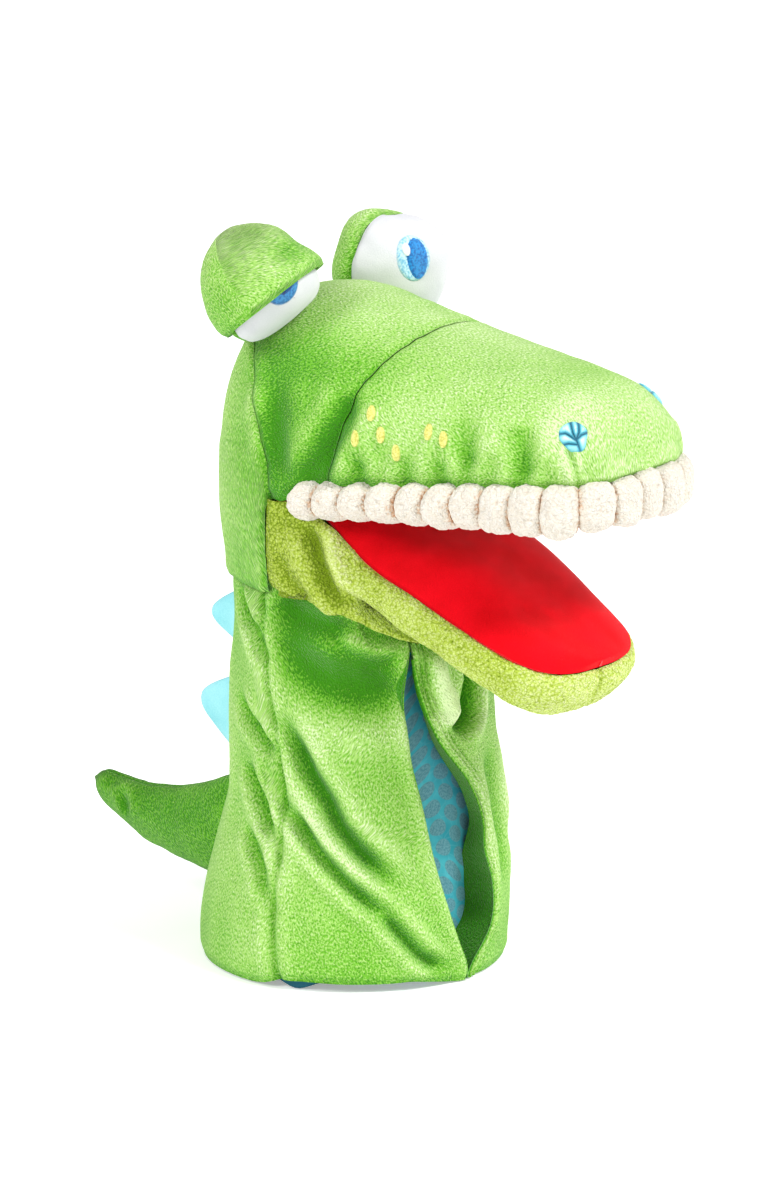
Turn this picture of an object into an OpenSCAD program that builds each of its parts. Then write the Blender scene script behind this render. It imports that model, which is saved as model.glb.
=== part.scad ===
// Crocodile hand puppet with a moving mouth, standing on its hem. Millimetres.
// The origin is the centre of the arm opening, in the plane of the hem. +Z is up, the snout points along -Y,
// and the puppet's right side is -X. Azimuths are about Z: 0 is the front, -90 the right side, 180 the back.

/* [Sleeve] */
// Radius of the sleeve at the hem
hem_r = 59.5; // [56:0.5:61]
// Radius of the sleeve at the neck
neck_r = 45.5; // [44:0.5:46]
// Height of the seam where the sleeve goes into the head
neck_z = 152; // [150:1:153]
// Thickness of the pile cloth
cloth_t = 2.4; // [1.8:0.2:2.6]
// Half of the widest gap of the front slit, in degrees of azimuth
slit_gape = 12; // [8:1:13]

/* [Head] */
// Level of the seam between the snout and the teeth, at the corner of the mouth
mouth_z = 195; // [194:0.5:196]
// Rise of the upper jaw towards the nose, in millimetres per millimetre
mouth_rise = 0.122; // [0.115:0.001:0.125]
// Number of puffs in the row of teeth
teeth = 25; // [23:2:27]

/* [Jaw] */
// Level of the fold that the lower jaw turns on
hinge_z = 184; // [183.5:0.5:184.5]
// Angle of the lower jaw below the horizontal, with the mouth as it stands open
jaw_tilt = 24; // [22:1:26]
// Length of the lower jaw from the fold to its tip
jaw_len = 131; // [126:1:132]

/* [Eyes] */
// Distance between the centres of the two eyes
eye_gap = 76; // [74:1:80]
// Radius of an eye
eye_r = 20.5; // [18:0.5:21]

/* [Tail and spikes] */
// Length of the tail from its turning seam to the tip
tail_len = 63; // [50:1:70]
// How far a spike stands out of the back
spike_out = 25; // [18:1:28]

/* [Hidden] */

green = [0.42, 0.78, 0.20];
lime = [0.70, 0.82, 0.32];
cream = [0.98, 0.93, 0.86];
red = [0.85, 0.02, 0.04];
bag_blue = [0.16, 0.52, 0.64];
spike_blue = [0.55, 0.90, 0.96];
white = [0.96, 0.96, 0.97];
eye_blue = [0.05, 0.36, 0.72];
yellow = [0.93, 0.85, 0.35];
inner_cloth = [0.80, 0.88, 0.70];
foam = [0.90, 0.90, 0.86];
fibre = [0.97, 0.97, 0.95];

fit_gap = 0.4;      // free space between soft pieces that only touch
lining_t = 1.2;     // thin cloth of the bag, pockets and linings
board_t = 2.8;      // foam sheet that stiffens each jaw
hinge_y = -4;       // the fold of the mouth lining
right = -1;         // sign of X on the puppet's right side
left = 1;

// ---- curves and sheets ----

function mix(a, b, t) = a + (b - a) * t;
function limit(x, low, high) = min(max(x, low), high);
function steps(n) = [for (i = [0:n]) i / n];
function sgn_pow(x, e) = sign(x) * pow(abs(x), e);

// Smooth curve through the points p, with t from 0 to 1 (Catmull-Rom)
function spline(p, t) =
    let (
        n = len(p) - 1,
        i = limit(floor(t * n), 0, n - 1),
        u = t * n - i,
        a = p[max(i - 1, 0)],
        b = p[i],
        c = p[i + 1],
        d = p[min(i + 2, n)]
    )
    0.5 * (2 * b + (c - a) * u + (2 * a - 5 * b + 4 * c - d) * u * u + (3 * b - a - 3 * c + d) * u * u * u);

// Value at x of a table of [x, value] rows, in rising x
function along(table, x) =
    let (
        n = len(table) - 1,
        i = limit(len([for (r = table) if (r[0] <= x) 1]) - 1, 0, n - 1),
        u = limit((x - table[i][0]) / (table[i + 1][0] - table[i][0]), 0, 1)
    )
    mix(table[i][1], table[i + 1][1], u);

// Two triangles for a four-cornered patch
function patch(a, b, c, d) = [[a, b, c], [a, c, d]];

// Newell's normal of a ring of points, and its centre
function ring_normal(ring) =
    let (n = len(ring), parts = [for (k = [0:n - 1]) cross(ring[k], ring[(k + 1) % n])])
    [for (axis = [0:2]) let (column = [for (q = parts) q[axis]]) column * [for (q = column) 1]];
function centre(points) =
    let (n = len(points))
    [for (axis = [0:2]) let (column = [for (q = points) q[axis]]) column * [for (q = column) 1] / n];
function reversed(face) = [for (k = [len(face) - 1:-1:0]) face[k]];

// A closed sheet of cloth between two matching grids of points, outside and inside
module sheet(outside, inside) {
    rows = len(outside);
    cols = len(outside[0]);
    function at(side, i, j) = (side * rows + i) * cols + j;
    last_i = rows - 1;
    last_j = cols - 1;
    mid_i = floor(last_i / 2);
    mid_j = floor(last_j / 2);
    corner = outside[mid_i][mid_j];
    facing = cross(outside[mid_i][mid_j + 1] - corner, outside[mid_i + 1][mid_j] - corner);
    points = [for (grid = [outside, inside]) for (row = grid) for (p = row) p];
    faces = [
        for (i = [0:last_i - 1])
            for (j = [0:last_j - 1])
                each concat(
                    patch(at(0, i, j), at(0, i, j + 1), at(0, i + 1, j + 1), at(0, i + 1, j)),
                    patch(at(1, i, j), at(1, i + 1, j), at(1, i + 1, j + 1), at(1, i, j + 1))
                ),
        for (i = [0:last_i - 1])
            each concat(
                patch(at(0, i, 0), at(0, i + 1, 0), at(1, i + 1, 0), at(1, i, 0)),
                patch(at(0, i, last_j), at(1, i, last_j), at(1, i + 1, last_j), at(0, i + 1, last_j))
            ),
        for (j = [0:last_j - 1])
            each concat(
                patch(at(0, 0, j), at(1, 0, j), at(1, 0, j + 1), at(0, 0, j + 1)),
                patch(at(0, last_i, j), at(0, last_i, j + 1), at(1, last_i, j + 1), at(1, last_i, j))
            )
    ];
    outward = facing * (corner - inside[mid_i][mid_j]) < 0;
    polyhedron(points, outward ? faces : [for (f = faces) reversed(f)]);
}

// A closed solid through rings of points, with flat ends
module loft(rings) {
    rows = len(rings);
    cols = len(rings[0]);
    function at(i, j) = i * cols + j % cols;
    faces = [
        [for (j = [0:cols - 1]) at(0, j)],
        [for (j = [cols - 1:-1:0]) at(rows - 1, j)],
        for (i = [0:rows - 2])
            for (j = [0:cols - 1])
                each patch(at(i, j), at(i + 1, j), at(i + 1, j + 1), at(i, j + 1))
    ];
    widest = rings[floor(rows / 2)];
    outward = ring_normal(widest) * (centre(rings[rows - 1]) - centre(rings[0])) > 0;
    polyhedron([for (ring = rings) for (p = ring) p], outward ? faces : [for (f = faces) reversed(f)]);
}

// ---- sleeve ----

sleeve_top_front = 118;  // the sleeve's upper edge, low at the front where the jaw swings
sleeve_top_back = 139;
sleeve_bulge = 5;        // how far the middle of the sleeve leans to the front
side_az = 85;            // side seams at the hem
side_twist = -10;        // turn of the cloth from the hem to the neck
slit_az = -3;            // middle of the slit at the hem, and its turn up to the neck
slit_twist = -22;
slit_top = sleeve_top_front;
facing_w = 8;            // width of the turned-in edges of the slit, in degrees
hem_h = 12;

// Rows of [height, share of the way from the neck's radius to the hem's]
flare_rows = [[0, 1], [12, 1], [35, 0.79], [59, 0.54], [99, 0.32], [125, 0.2], [150, 0]];
function sleeve_r(z) = neck_r + (hem_r - neck_r) * along(flare_rows, z);
function sleeve_y(z) = -sleeve_bulge * sin(180 * limit(z / 150, 0, 1));
function sleeve_point(az, z, inset) =
    let (r = sleeve_r(z) - inset)
    [r * sin(az), sleeve_y(z) - r * cos(az), z];
function sleeve_top(az) = mix(sleeve_top_front, sleeve_top_back, limit((1 - cos(az)) * 0.9, 0, 1));
function slit_mid(z) = slit_az + slit_twist * pow(z / slit_top, 1.3);
function slit_half(z) =
    max(0.4, slit_gape * sin(180 * pow(limit((z - 3) / (slit_top - 3), 0, 1), 0.6)));
function side_seam(side, z) = side * side_az + side_twist * z / 150;

// Grid of points on the sleeve between two azimuth functions of z, from z0 up to the neck edge or to z1
function sleeve_grid(from, to, inset, z0, z1, rows, cols) = [
    for (i = steps(rows)) [
        for (j = steps(cols))
            let (
                z_guess = mix(z0, z1, i),
                az = mix(from(z_guess), to(z_guess), j),
                z = z0 + (min(z1, sleeve_top(az)) - z0) * i
            )
            sleeve_point(az, z, inset)
    ]
];
module sleeve_cloth(from, to, outer_inset, thick, z0, z1, rows, cols) {
    sheet(
        sleeve_grid(from, to, outer_inset, z0, z1, rows, cols),
        sleeve_grid(from, to, outer_inset + thick, z0, z1, rows, cols)
    );
}

near_edge = function (z) slit_mid(z) - slit_half(z);
far_edge = function (z) slit_mid(z) + slit_half(z);
right_seam = function (z) side_seam(right, z);
left_seam = function (z) side_seam(left, z);
back_right = function (z) -180;
back_left = function (z) 180;

module right_front_panel() {
    color(green) sleeve_cloth(right_seam, near_edge, 0, cloth_t, 0, sleeve_top_back, 16, 9);
}
module left_front_panel() {
    color(green) sleeve_cloth(far_edge, left_seam, 0, cloth_t, 0, sleeve_top_back, 16, 9);
}
module right_back_panel() {
    color(green) sleeve_cloth(back_right, right_seam, 0, cloth_t, 0, sleeve_top_back, 12, 9);
}
module left_back_panel() {
    color(green) sleeve_cloth(left_seam, back_left, 0, cloth_t, 0, sleeve_top_back, 12, 9);
}

// The hem is turned in and sewn down: a strip inside the bottom edge, open at the slit
module hem_band() {
    start = function (z) far_edge(z) + facing_w + 1;
    finish = function (z) near_edge(z) - facing_w - 1 + 360;
    color(green)
        sleeve_cloth(start, finish, cloth_t + fit_gap, lining_t, 0, hem_h, 2, 48);
}

module slit_facing(from, to) {
    color(green) sleeve_cloth(from, to, cloth_t + fit_gap, lining_t, 0, sleeve_top_front - 2, 16, 2);
}
module right_slit_facing() {
    slit_facing(function (z) near_edge(z) - facing_w, near_edge);
}
module left_slit_facing() {
    slit_facing(far_edge, function (z) far_edge(z) + facing_w);
}

// ---- stomach bag ----

// Rows of [z, centre x, centre y, half width, half depth]
bag_rows = [
    [4, -6, -30, 20, 6], [9, -5, -30, 27, 11], [35, -4, -31, 30, 14], [75, -3, -30, 27, 13],
    [106, -3, -28, 23, 11], [128, -3, -27, 21, 8]
];
bag_sides = 20;

function oval(row, inset, n) = [
    for (k = [0:n - 1])
        let (a = 360 * k / n)
        [row[1] + (row[3] - inset) * cos(a), row[2] + (row[4] - inset) * sin(a), row[0]]
];

module stomach_bag() {
    inner_rows = [
        for (t = steps(8))
            let (r = spline(bag_rows, mix(0.14, 1, t)))
            [r[0], r[1], r[2], r[3], r[4]]
    ];
    top = bag_rows[len(bag_rows) - 1];
    color(bag_blue)
        difference() {
            loft([for (t = steps(10)) oval(spline(bag_rows, t), 0, bag_sides)]);
            loft([
                for (r = inner_rows) oval(r, lining_t, bag_sides),
                oval([top[0] + 1, top[1], top[2], top[3], top[4]], lining_t, bag_sides)
            ]);
        }
}

// ---- spikes and tail ----

spike_w = 4.5;       // thickness of a spike
spike_seat = 1;    // clear of the sleeve's curve

// Side outline of a spike in Y and Z, with its rounded tip
module spike(z, size) {
    base_y = sleeve_y(z) + sleeve_r(z) + spike_seat;
    color(spike_blue)
        translate([-spike_w / 2, base_y, z])
            rotate([90, 0, 90])
                linear_extrude(spike_w)
                    difference() {
                        hull() {
                            translate([size * spike_out - 5, size * 3]) circle(r = 5, $fn = 24);
                            translate([-4, size * 15]) square([0.5, 0.5]);
                            translate([-4, size * -17]) square([0.5, 0.5]);
                        }
                        rotate(size * 3) translate([-40, -40]) square([40, 80]);
                    }
}
module upper_spike() {
    spike(120, 0.86);
}
module lower_spike() {
    spike(83, 1);
}

tail_z = 38;                                     // middle of the tail's root
tail_root_r = 9;                                 // the tail's round root turns about this circle's centre
tail_hinge_y = hem_r + 8.6;                      // clear of the sleeve at every height of the root
// Rows of [share of the length, centre z, half height, half width]
tail_rows = [
    [0, 38, 23, 9], [0.2, 38, 19.5, 10.5], [0.4, 38.5, 15.5, 10], [0.6, 40.5, 12, 9], [0.8, 43.5, 9, 7.5],
    [0.93, 46, 7, 6], [1, 47, 3.5, 3]
];

function tail_ring(row, inset, n) = [
    for (k = [0:n - 1])
        let (a = 360 * k / n)
        [
            (row[3] - inset) * cos(a),
            tail_hinge_y + row[0] * tail_len - (row[0] > 0.99 ? inset : 0),
            row[1] + (row[2] - inset) * sin(a)
        ]
];
module tail_body(inset) {
    loft([for (t = steps(12)) tail_ring(spline(tail_rows, t), inset, 20)]);
    root = tail_rows[0];
    // The root is rounded about the turning seam
    translate([0, tail_hinge_y, root[1] - root[2] * 0.8 + inset])
        cylinder(r = tail_root_r - inset - 0.02, h = root[2] * 1.6 - 2 * inset, $fn = 12);
}
module tail_half(side) {
    color(green)
        intersection() {
            difference() {
                tail_body(0);
                tail_body(cloth_t * 0.8);
            }
            translate([side > 0 ? 0 : -30, tail_hinge_y - 30, 0]) cube([30, 120, 90]);
        }
}
module tail_right_half() {
    tail_half(right);
}
module tail_left_half() {
    tail_half(left);
}
module tail_filling() {
    color(fibre) tail_body(cloth_t * 0.8 + 0.05);
}
// Oval seam on the sleeve's back that the tail is sewn into
module tail_root() {
    wall = function (z) sleeve_y(z) + sleeve_r(z);
    half_w = 7;
    color(green)
        sheet(
            [
                for (i = steps(6)) [
                    for (j = steps(4))
                        let (z = mix(tail_z - 20, tail_z + 22, i), x = mix(half_w, -half_w, j))
                        [x, wall(z) + 1.6, z]
                ]
            ],
            [
                for (i = steps(6)) [
                    for (j = steps(4))
                        let (z = mix(tail_z - 20, tail_z + 22, i), x = mix(half_w, -half_w, j))
                        [x, sqrt(pow(sleeve_r(z), 2) - x * x) + sleeve_y(z) + 0.15, z]
                ]
            ]
        );
}

// ---- neck ----

collar_bottom = 139.6;
collar_top = 162;
collar_open = 96;    // the collar is open this far to each side of the front, so that the jaw can drop

function ring_grid(r, a0, a1, z0, z1, cols) = [
    for (z = [z0, z1]) [for (j = steps(cols)) let (a = mix(a0, a1, j)) [r * sin(a), -r * cos(a), z]]
];
module neck_collar() {
    r = neck_r - 0.7;
    color(green)
        sheet(
            ring_grid(r, collar_open, 360 - collar_open, collar_bottom, collar_top, 28),
            ring_grid(r - cloth_t, collar_open, 360 - collar_open, collar_bottom, collar_top, 28)
        );
}

// ---- head ----

// Sections of the head from the nose to the neck. Each is an arch over the head, which rises from its feet
// before it leans to its crest. Rows of [y of its feet, height of its feet over the mouth seam, y and z of its
// crest, half width, roundness, lean]
snout_seam = 7;     // the section that holds the seam between snout and crown
back_seam = 10;     // the section that holds the seam between crown and back
head_rows = [
    [-144, 0, -144, 213, 3, 2.2, 1], [-142.5, 0, -142, 222.5, 20, 2.2, 1.2], [-136, 0, -136, 234, 30, 2.3, 1.5],
    [-123, 0, -125, 242, 36.5, 2.4, 1.8], [-101, 0, -107, 246.5, 39.5, 2.4, 1.8], [-78, 0, -91, 248.5, 42, 2.4, 1.8],
    [-53, 0, -73, 250.5, 44.7, 2.4, 1.8], [-29, 0, -49, 254.5, 47.2, 2.4, 1.8], [-17, 0, -23, 259.5, 49, 2.4, 1.8],
    [-7, 0, 8, 261.5, 50, 2.4, 1.8], [0, -1, 30, 255, 50.5, 2.3, 1.6], [2, -10, 46, 228, 50.5, 2.2, 1.2],
    [3, -24, 50.5, 190, 50.5, 2.1, 1], [3, -43, 50, 152, 50, 2, 1]
];
head_last = len(head_rows) - 1;

function mouth_seam(y) = mouth_z + mouth_rise * max(0, -8 - y);
// A point of the head: t is the section, from 0 at the nose to 1 at the neck; a goes from -90 at the right foot
// over the crest at 0 to 90 at the left foot
function head_point(t, a, inset) =
    let (
        s = spline(head_rows, t),
        foot = [s[0], mouth_seam(s[0]) + s[1]],
        rise = [s[2], s[3]] - foot,
        tall = norm(rise),
        e = 2 / s[5],
        up = pow(abs(cos(a)), e) * (1 - inset / tall),
        across = sgn_pow(sin(a), e) * (s[4] - inset)
    )
    [across, foot[0] + rise[0] * pow(up, s[6]), foot[1] + rise[1] * up];

// Arches are drawn with closer steps near the feet, where the cloth turns down
function head_grid(from, to, inset, rows, cols) = [
    for (i = steps(rows)) [
        for (j = steps(cols)) head_point(mix(from, to, i) / head_last, mix(-90, 90, j), inset)
    ]
];
module head_cloth(from, to, rows, cols) {
    sheet(head_grid(from, to, 0, rows, cols), head_grid(from, to, cloth_t, rows, cols));
}

module snout_panel() {
    color(green) head_cloth(0.35, snout_seam - 0.02, 12, 20);
}
module crown_panel() {
    color(green) head_cloth(snout_seam, back_seam - 0.02, 7, 20);
}
module back_panel() {
    color(green) head_cloth(back_seam, head_last, 7, 20);
}

// Lime cloth beside the mouth, from the side seam forward to the crease of the jaw
module cheek_gusset(side) {
    outer_x = 49.8;
    outline = [[1.5, 151.5], [1.5, 187], [-8, 189.5], [-16, 180], [-32, 151.5]];
    color(lime)
        translate([side > 0 ? outer_x - cloth_t : -outer_x, 0, 0])
            rotate([90, 0, 90])
                linear_extrude(cloth_t) polygon(outline);
}
module right_cheek_gusset() {
    cheek_gusset(right);
}
module left_cheek_gusset() {
    cheek_gusset(left);
}

// Half width of the upper jaw at y, along the seam
function upper_half(y) =
    let (
        rows = [for (r = head_rows) [r[0], r[4]]]
    )
    along([for (i = [0:9]) rows[i]], y);

// A flat layer of the upper jaw, parallel to the mouth seam, between two heights over it
function upper_layer(y0, y1, margin, widest, h, n) = [
    for (i = steps(n))
        let (y = mix(y0, y1, i), w = min(widest, upper_half(y) - margin))
        [[-w, y, mouth_seam(y) + h], [w, y, mouth_seam(y) + h]]
];
module upper_slab(y0, y1, margin, widest, h0, h1, n) {
    low = upper_layer(y0, y1, margin, widest, h0, n);
    high = upper_layer(y0, y1, margin, widest, h1, n);
    loft([for (i = [0:n]) [low[i][0], high[i][0], high[i][1], low[i][1]]]);
}

palate_back = -12;
lining_h = 2;
module palate_lining() {
    color(red) upper_slab(-136, palate_back, cloth_t + 0.8, 99, 0.2, lining_h, 12);
}
module upper_mouth_board() {
    color(foam) upper_slab(-134, palate_back - 2, cloth_t + 2.4, 99, lining_h, lining_h + board_t, 12);
}

pocket_floor = lining_h + board_t;
pocket_h = 22;
pocket_w = 33;
module finger_pocket() {
    color(inner_cloth)
        difference() {
            upper_slab(-108, -20, 10, pocket_w, pocket_floor, pocket_floor + pocket_h, 8);
            upper_slab(
                -108 + lining_t, -19, 10 + lining_t, pocket_w - lining_t,
                pocket_floor + lining_t, pocket_floor + pocket_h - lining_t, 8
            );
        }
}

// Fibre filling of the snout: fills it over the pocket and in front of it
module snout_filling() {
    color(fibre)
        difference() {
            loft([
                for (i = steps(8))
                    let (t = mix(1.2, snout_seam - 0.6, i) / head_last)
                    concat(
                        [for (j = steps(14)) head_point(t, mix(-78, 78, j), cloth_t + 0.5)]
                    )
            ]);
            upper_slab(-109, 0, 4, 99, -3, pocket_floor + pocket_h + fit_gap, 8);
            upper_slab(-150, 0, 0, 99, -6, pocket_floor + fit_gap, 8);
        }
}

// ---- teeth ----

tooth_h = [13, 16.5];    // height of the puffs at the corner of the mouth and at the front
tooth_deep = 11.5;
tooth_end_y = -13;       // where the row ends at the corner of the mouth
front_y = -141;
corner_r = 24;
front_half = 37;

// The line that the row follows in plan: [x, y, heading], s from 0 at the right corner of the mouth
side_len = norm([46.5 - front_half, tooth_end_y - (front_y + corner_r)]);
side_turn = atan2(46.5 - front_half, tooth_end_y - (front_y + corner_r));
arc_len = PI * corner_r * 90 / 180;
front_len = 2 * (front_half - corner_r);
row_len = 2 * side_len + 2 * arc_len + front_len;

function half_row(s) =
    s < side_len
        ? let (u = s / side_len)
            [mix(-46.5, -front_half, u), mix(tooth_end_y, front_y + corner_r, u), side_turn]
        : s < side_len + arc_len
            ? let (a = 90 * (s - side_len) / arc_len)
                [
                    -front_half + corner_r - corner_r * cos(a),
                    front_y + corner_r - corner_r * sin(a),
                    a
                ]
            : [-front_half + corner_r + (s - side_len - arc_len), front_y, 90];
function row_point(s) =
    s <= row_len / 2 ? half_row(s) : let (p = half_row(row_len - s)) [-p[0], p[1], 180 - p[2]];

module tooth(width, tall) {
    rings = 6;
    sides = 10;
    loft([
        for (i = [0:rings])
            let (
                u = mix(-0.97, 0.97, i / rings),
                k = pow(1 - pow(abs(u), 2.6), 1 / 2.6)
            )
            [
                for (j = [0:sides - 1])
                    let (a = 360 * j / sides)
                    [tooth_deep / 2 * k * cos(a), -u * width / 2, tall / 2 * k * sin(a)]
            ]
    ]);
}
module teeth_row() {
    pitch = row_len / teeth;
    color(cream)
        for (i = [0:teeth - 1]) {
            p = row_point((i + 0.5) * pitch);
            tall = mix(tooth_h[0], tooth_h[1], (tooth_end_y - p[1]) / (tooth_end_y - front_y));
            translate([p[0], p[1], mouth_seam(p[1]) - tall / 2 - fit_gap])
                rotate([0, 0, p[2]])
                    tooth(pitch * 0.94, tall);
        }
}

// ---- embroidery ----

// A low oval patch that lies on the head at section t and arch angle a
module embroidery(t, a, r_up, r_across, high) {
    p = head_point(t / head_last, a, 0);
    q = head_point(t / head_last, a + 1, 0);
    s = head_point((t + 0.05) / head_last, a, 0);
    normal = cross(s - p, q - p);
    n = normal / norm(normal);
    out = n * p > 0 || n[2] > 0 ? n : -n;
    across = (q - p) / norm(q - p);
    along_head = cross(out, across);
    sides = 12;
    loft([
        for (k = [[0.35, 1], [1.2, 0.8]])
            [
                for (j = [0:sides - 1])
                    let (b = 360 * j / sides)
                    p + out * (k[0] * high) + along_head * (r_up * k[1] * cos(b))
                        - across * (r_across * k[1] * sin(b))
            ]
    ]);
}

nostril_t = 2.55;
nostril_a = 40;
module nostril(side) {
    color(spike_blue) embroidery(nostril_t, side * nostril_a, 6, 5, 1.6);
}
module right_nostril() {
    nostril(right);
}
module left_nostril() {
    nostril(left);
}

// [section, arch angle] of each freckle
freckle_rows = [[6.55, 58], [6.75, 66.5], [6.3, 65.5], [6.1, 72], [5.75, 62], [5.45, 67.5]];
module freckles(side) {
    color(yellow)
        for (f = freckle_rows) embroidery(f[0], side * f[1], 2, 2.4, 1);
}
module right_freckles() {
    freckles(right);
}
module left_freckles() {
    freckles(left);
}

// ---- eyes ----

eye_y = 12;
eye_z = 262;
lid_t = 2.6;
// A dome about the -Y axis: flat towards +Y when it is the front half
function dome(r, deep, tall, facing, rings, sides) = [
    for (i = [0:rings])
        let (u = mix(0.02, 1, i / rings), a = 90 * u)
        [
            for (j = [0:sides - 1])
                let (b = 360 * j / sides)
                [r * sin(a) * cos(b), facing * deep * cos(a), tall * r * sin(a) * sin(b)]
        ]
];
module dome_solid(r, deep, tall, facing) {
    rings = dome(r, deep, tall, facing, 7, 22);
    n = len(rings) - 1;
    loft(facing < 0 ? rings : [for (i = [0:n]) rings[n - i]]);
}
right_eye_lift = 3;  // the right eye stands higher, with its drooping lid
// The space that the head takes up, for what is sewn onto it
module head_space(clear) {
    loft([
        for (i = steps(7))
            [for (j = steps(16)) head_point(mix(6, 12, i) / head_last, mix(-84, 84, j), -clear)]
    ]);
}
module eye_place(side) {
    difference() {
        translate([side * eye_gap / 2, eye_y, eye_z + (side < 0 ? right_eye_lift : 0)]) children();
        head_space(1);
    }
}
front_deep = 19;
back_deep = 11;
eye_tall = 1.12;
skin = 1.4;

module eye_white(side) {
    color(white)
        eye_place(side)
            difference() {
                dome_solid(eye_r, front_deep, eye_tall, -1);
                translate([0, 0.01, 0]) dome_solid(eye_r - skin, front_deep - skin, eye_tall, -1);
            }
}
module eye_back(side) {
    color(green)
        eye_place(side)
            translate([0, 0.1, 0])
                difference() {
                    dome_solid(eye_r, back_deep, eye_tall, 1);
                    translate([0, -0.01, 0]) dome_solid(eye_r - skin, back_deep - skin, eye_tall, 1);
                }
}
module eye_filling(side) {
    r = eye_r - skin - 0.2;
    color(fibre)
        eye_place(side) {
            translate([0, 0.05, 0]) dome_solid(r, front_deep - skin - 0.2, eye_tall, -1);
            dome_solid(r, back_deep - skin - 0.2, eye_tall, 1);
        }
}
// The iris is a cap on the white, turned a little to the snout and inwards
module iris(side, turn, nod, size) {
    color(eye_blue)
        eye_place(side)
            intersection() {
                difference() {
                    dome_solid(eye_r + 0.8, front_deep + 0.8, eye_tall, -1);
                    dome_solid(eye_r + 0.05, front_deep + 0.05, eye_tall, -1);
                }
                rotate([nod, 0, turn])
                    rotate([90, 0, 0])
                        cylinder(r = size, h = 40, $fn = 12);
            }
}
module right_iris() {
    iris(right, 6, 4, 6.5);
}
module left_iris() {
    iris(left, 2, 0, 6.8);
}
module right_eye_white() {
    eye_white(right);
}
module left_eye_white() {
    eye_white(left);
}
module right_eye_back() {
    eye_back(right);
}
module left_eye_back() {
    eye_back(left);
}
module right_eye_filling() {
    eye_filling(right);
}
module left_eye_filling() {
    eye_filling(left);
}

// The drooping lid: an outer dome, cut away below a slanting edge
lid_slant = 30;
module right_eyelid() {
    over = 0.95;
    color(green)
        eye_place(right)
            intersection() {
                difference() {
                    dome_solid(eye_r + over + lid_t, front_deep + over + lid_t, eye_tall, -1);
                    translate([0, 0.01, 0])
                        dome_solid(eye_r + over, front_deep + over, eye_tall, -1);
                }
                rotate([0, -lid_slant, 0]) translate([-60, -60, -3]) cube([120, 60, 60]);
            }
}

// ---- lower jaw ----

jaw_dir = [-cos(jaw_tilt), -sin(jaw_tilt)];
jaw_up = [-sin(jaw_tilt), cos(jaw_tilt)];
// A point of the jaw at x, d forward from the fold and h over the jaw's plane
function jaw_point(x, d, h) =
    let (p = [hinge_y, hinge_z] + d * jaw_dir + h * jaw_up)
    [x, p[0], p[1]];

// Rows of [share of the jaw's length, half width, underside, top of the rim]. The rim meets the teeth all along
// when the mouth is shut.
jaw_rows = [
    [0.14, 44, -17, -4.8], [0.28, 44.6, -18.5, -3], [0.45, 43.5, -18.5, -0.7], [0.62, 41.5, -17.5, 1.5],
    [0.78, 38.5, -15.5, 3.4], [0.9, 34.5, -12.5, 4.4], [0.96, 29, -11, 4.2], [0.99, 21, -9.5, 3], [1, 12, -8, 2]
];
function jaw_half(d) = along([for (r = jaw_rows) [r[0], r[1]]], d / jaw_len);
rim_curl = 138;      // how far the cover goes around the rim, in degrees from the middle of the underside

// A flat layer of the jaw between two heights
module jaw_slab(d0, d1, margin, widest, h0, h1, n) {
    loft([
        for (i = steps(n))
            let (d = mix(d0, d1, i), w = min(widest, jaw_half(d) - margin))
            [jaw_point(-w, d, h0), jaw_point(-w, d, h1), jaw_point(w, d, h1), jaw_point(w, d, h0)]
    ]);
}
// U-shaped cloth under and beside the jaw: a goes from the right rim under the jaw to the left rim
function jaw_skin(row, inset, cols) =
    let (
        d = row[0] * jaw_len - (row[0] > 0.99 ? inset : 0),
        w = row[1] - inset,
        mid = (row[2] + row[3]) / 2,
        half = (row[3] - row[2]) / 2 - inset * 0.9
    )
    [
        for (j = steps(cols))
            let (a = mix(-rim_curl, rim_curl, j), e = 0.6)
            jaw_point(w * sgn_pow(sin(a), e), d, mid - half * sgn_pow(cos(a), e))
    ];
module jaw_cover() {
    color(lime)
        sheet([for (r = jaw_rows) jaw_skin(r, 0, 22)], [for (r = jaw_rows) jaw_skin(r, cloth_t, 22)]);
}

jaw_board_h = -2.9;
tongue_h = 3;
jaw_back = 15;
tongue_margin = 13.5;
module tongue_lining() {
    color(red) jaw_slab(jaw_back, jaw_len - 12, tongue_margin, 36, 0, tongue_h, 12);
}
module lower_mouth_board() {
    color(foam) jaw_slab(jaw_back + 1, jaw_len - 13, tongue_margin + 1, 35, jaw_board_h, 0, 12);
}
thumb_h = 11.4;
thumb_from = 22;
thumb_to = 84;
thumb_w = 20;
module thumb_pocket() {
    color(inner_cloth)
        difference() {
            jaw_slab(thumb_from, thumb_to, 14, thumb_w, jaw_board_h - thumb_h, jaw_board_h, 6);
            jaw_slab(
                thumb_from - 1, thumb_to - lining_t, 14 + lining_t, thumb_w - lining_t,
                jaw_board_h - thumb_h + lining_t / 2, jaw_board_h - lining_t / 2, 6
            );
        }
}
module jaw_filling() {
    color(fibre) jaw_slab(thumb_to + 1, jaw_len - 17, 14, 24, jaw_board_h - 5.5, jaw_board_h, 6);
}

// ---- the puppet ----

right_front_panel();
left_front_panel();
right_back_panel();
left_back_panel();
hem_band();
right_slit_facing();
left_slit_facing();
stomach_bag();
upper_spike();
lower_spike();
tail_root();
neck_collar();
snout_panel();
crown_panel();
back_panel();
right_cheek_gusset();
left_cheek_gusset();
palate_lining();
upper_mouth_board();
finger_pocket();
snout_filling();
teeth_row();
right_nostril();
left_nostril();
right_freckles();
left_freckles();
right_eye_back();
right_eye_white();
right_eye_filling();
right_iris();
right_eyelid();
left_eye_back();
left_eye_white();
left_eye_filling();
left_iris();
jaw_cover();
tongue_lining();
lower_mouth_board();
thumb_pocket();
jaw_filling();
tail_right_half();
tail_left_half();
tail_filling();
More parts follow.
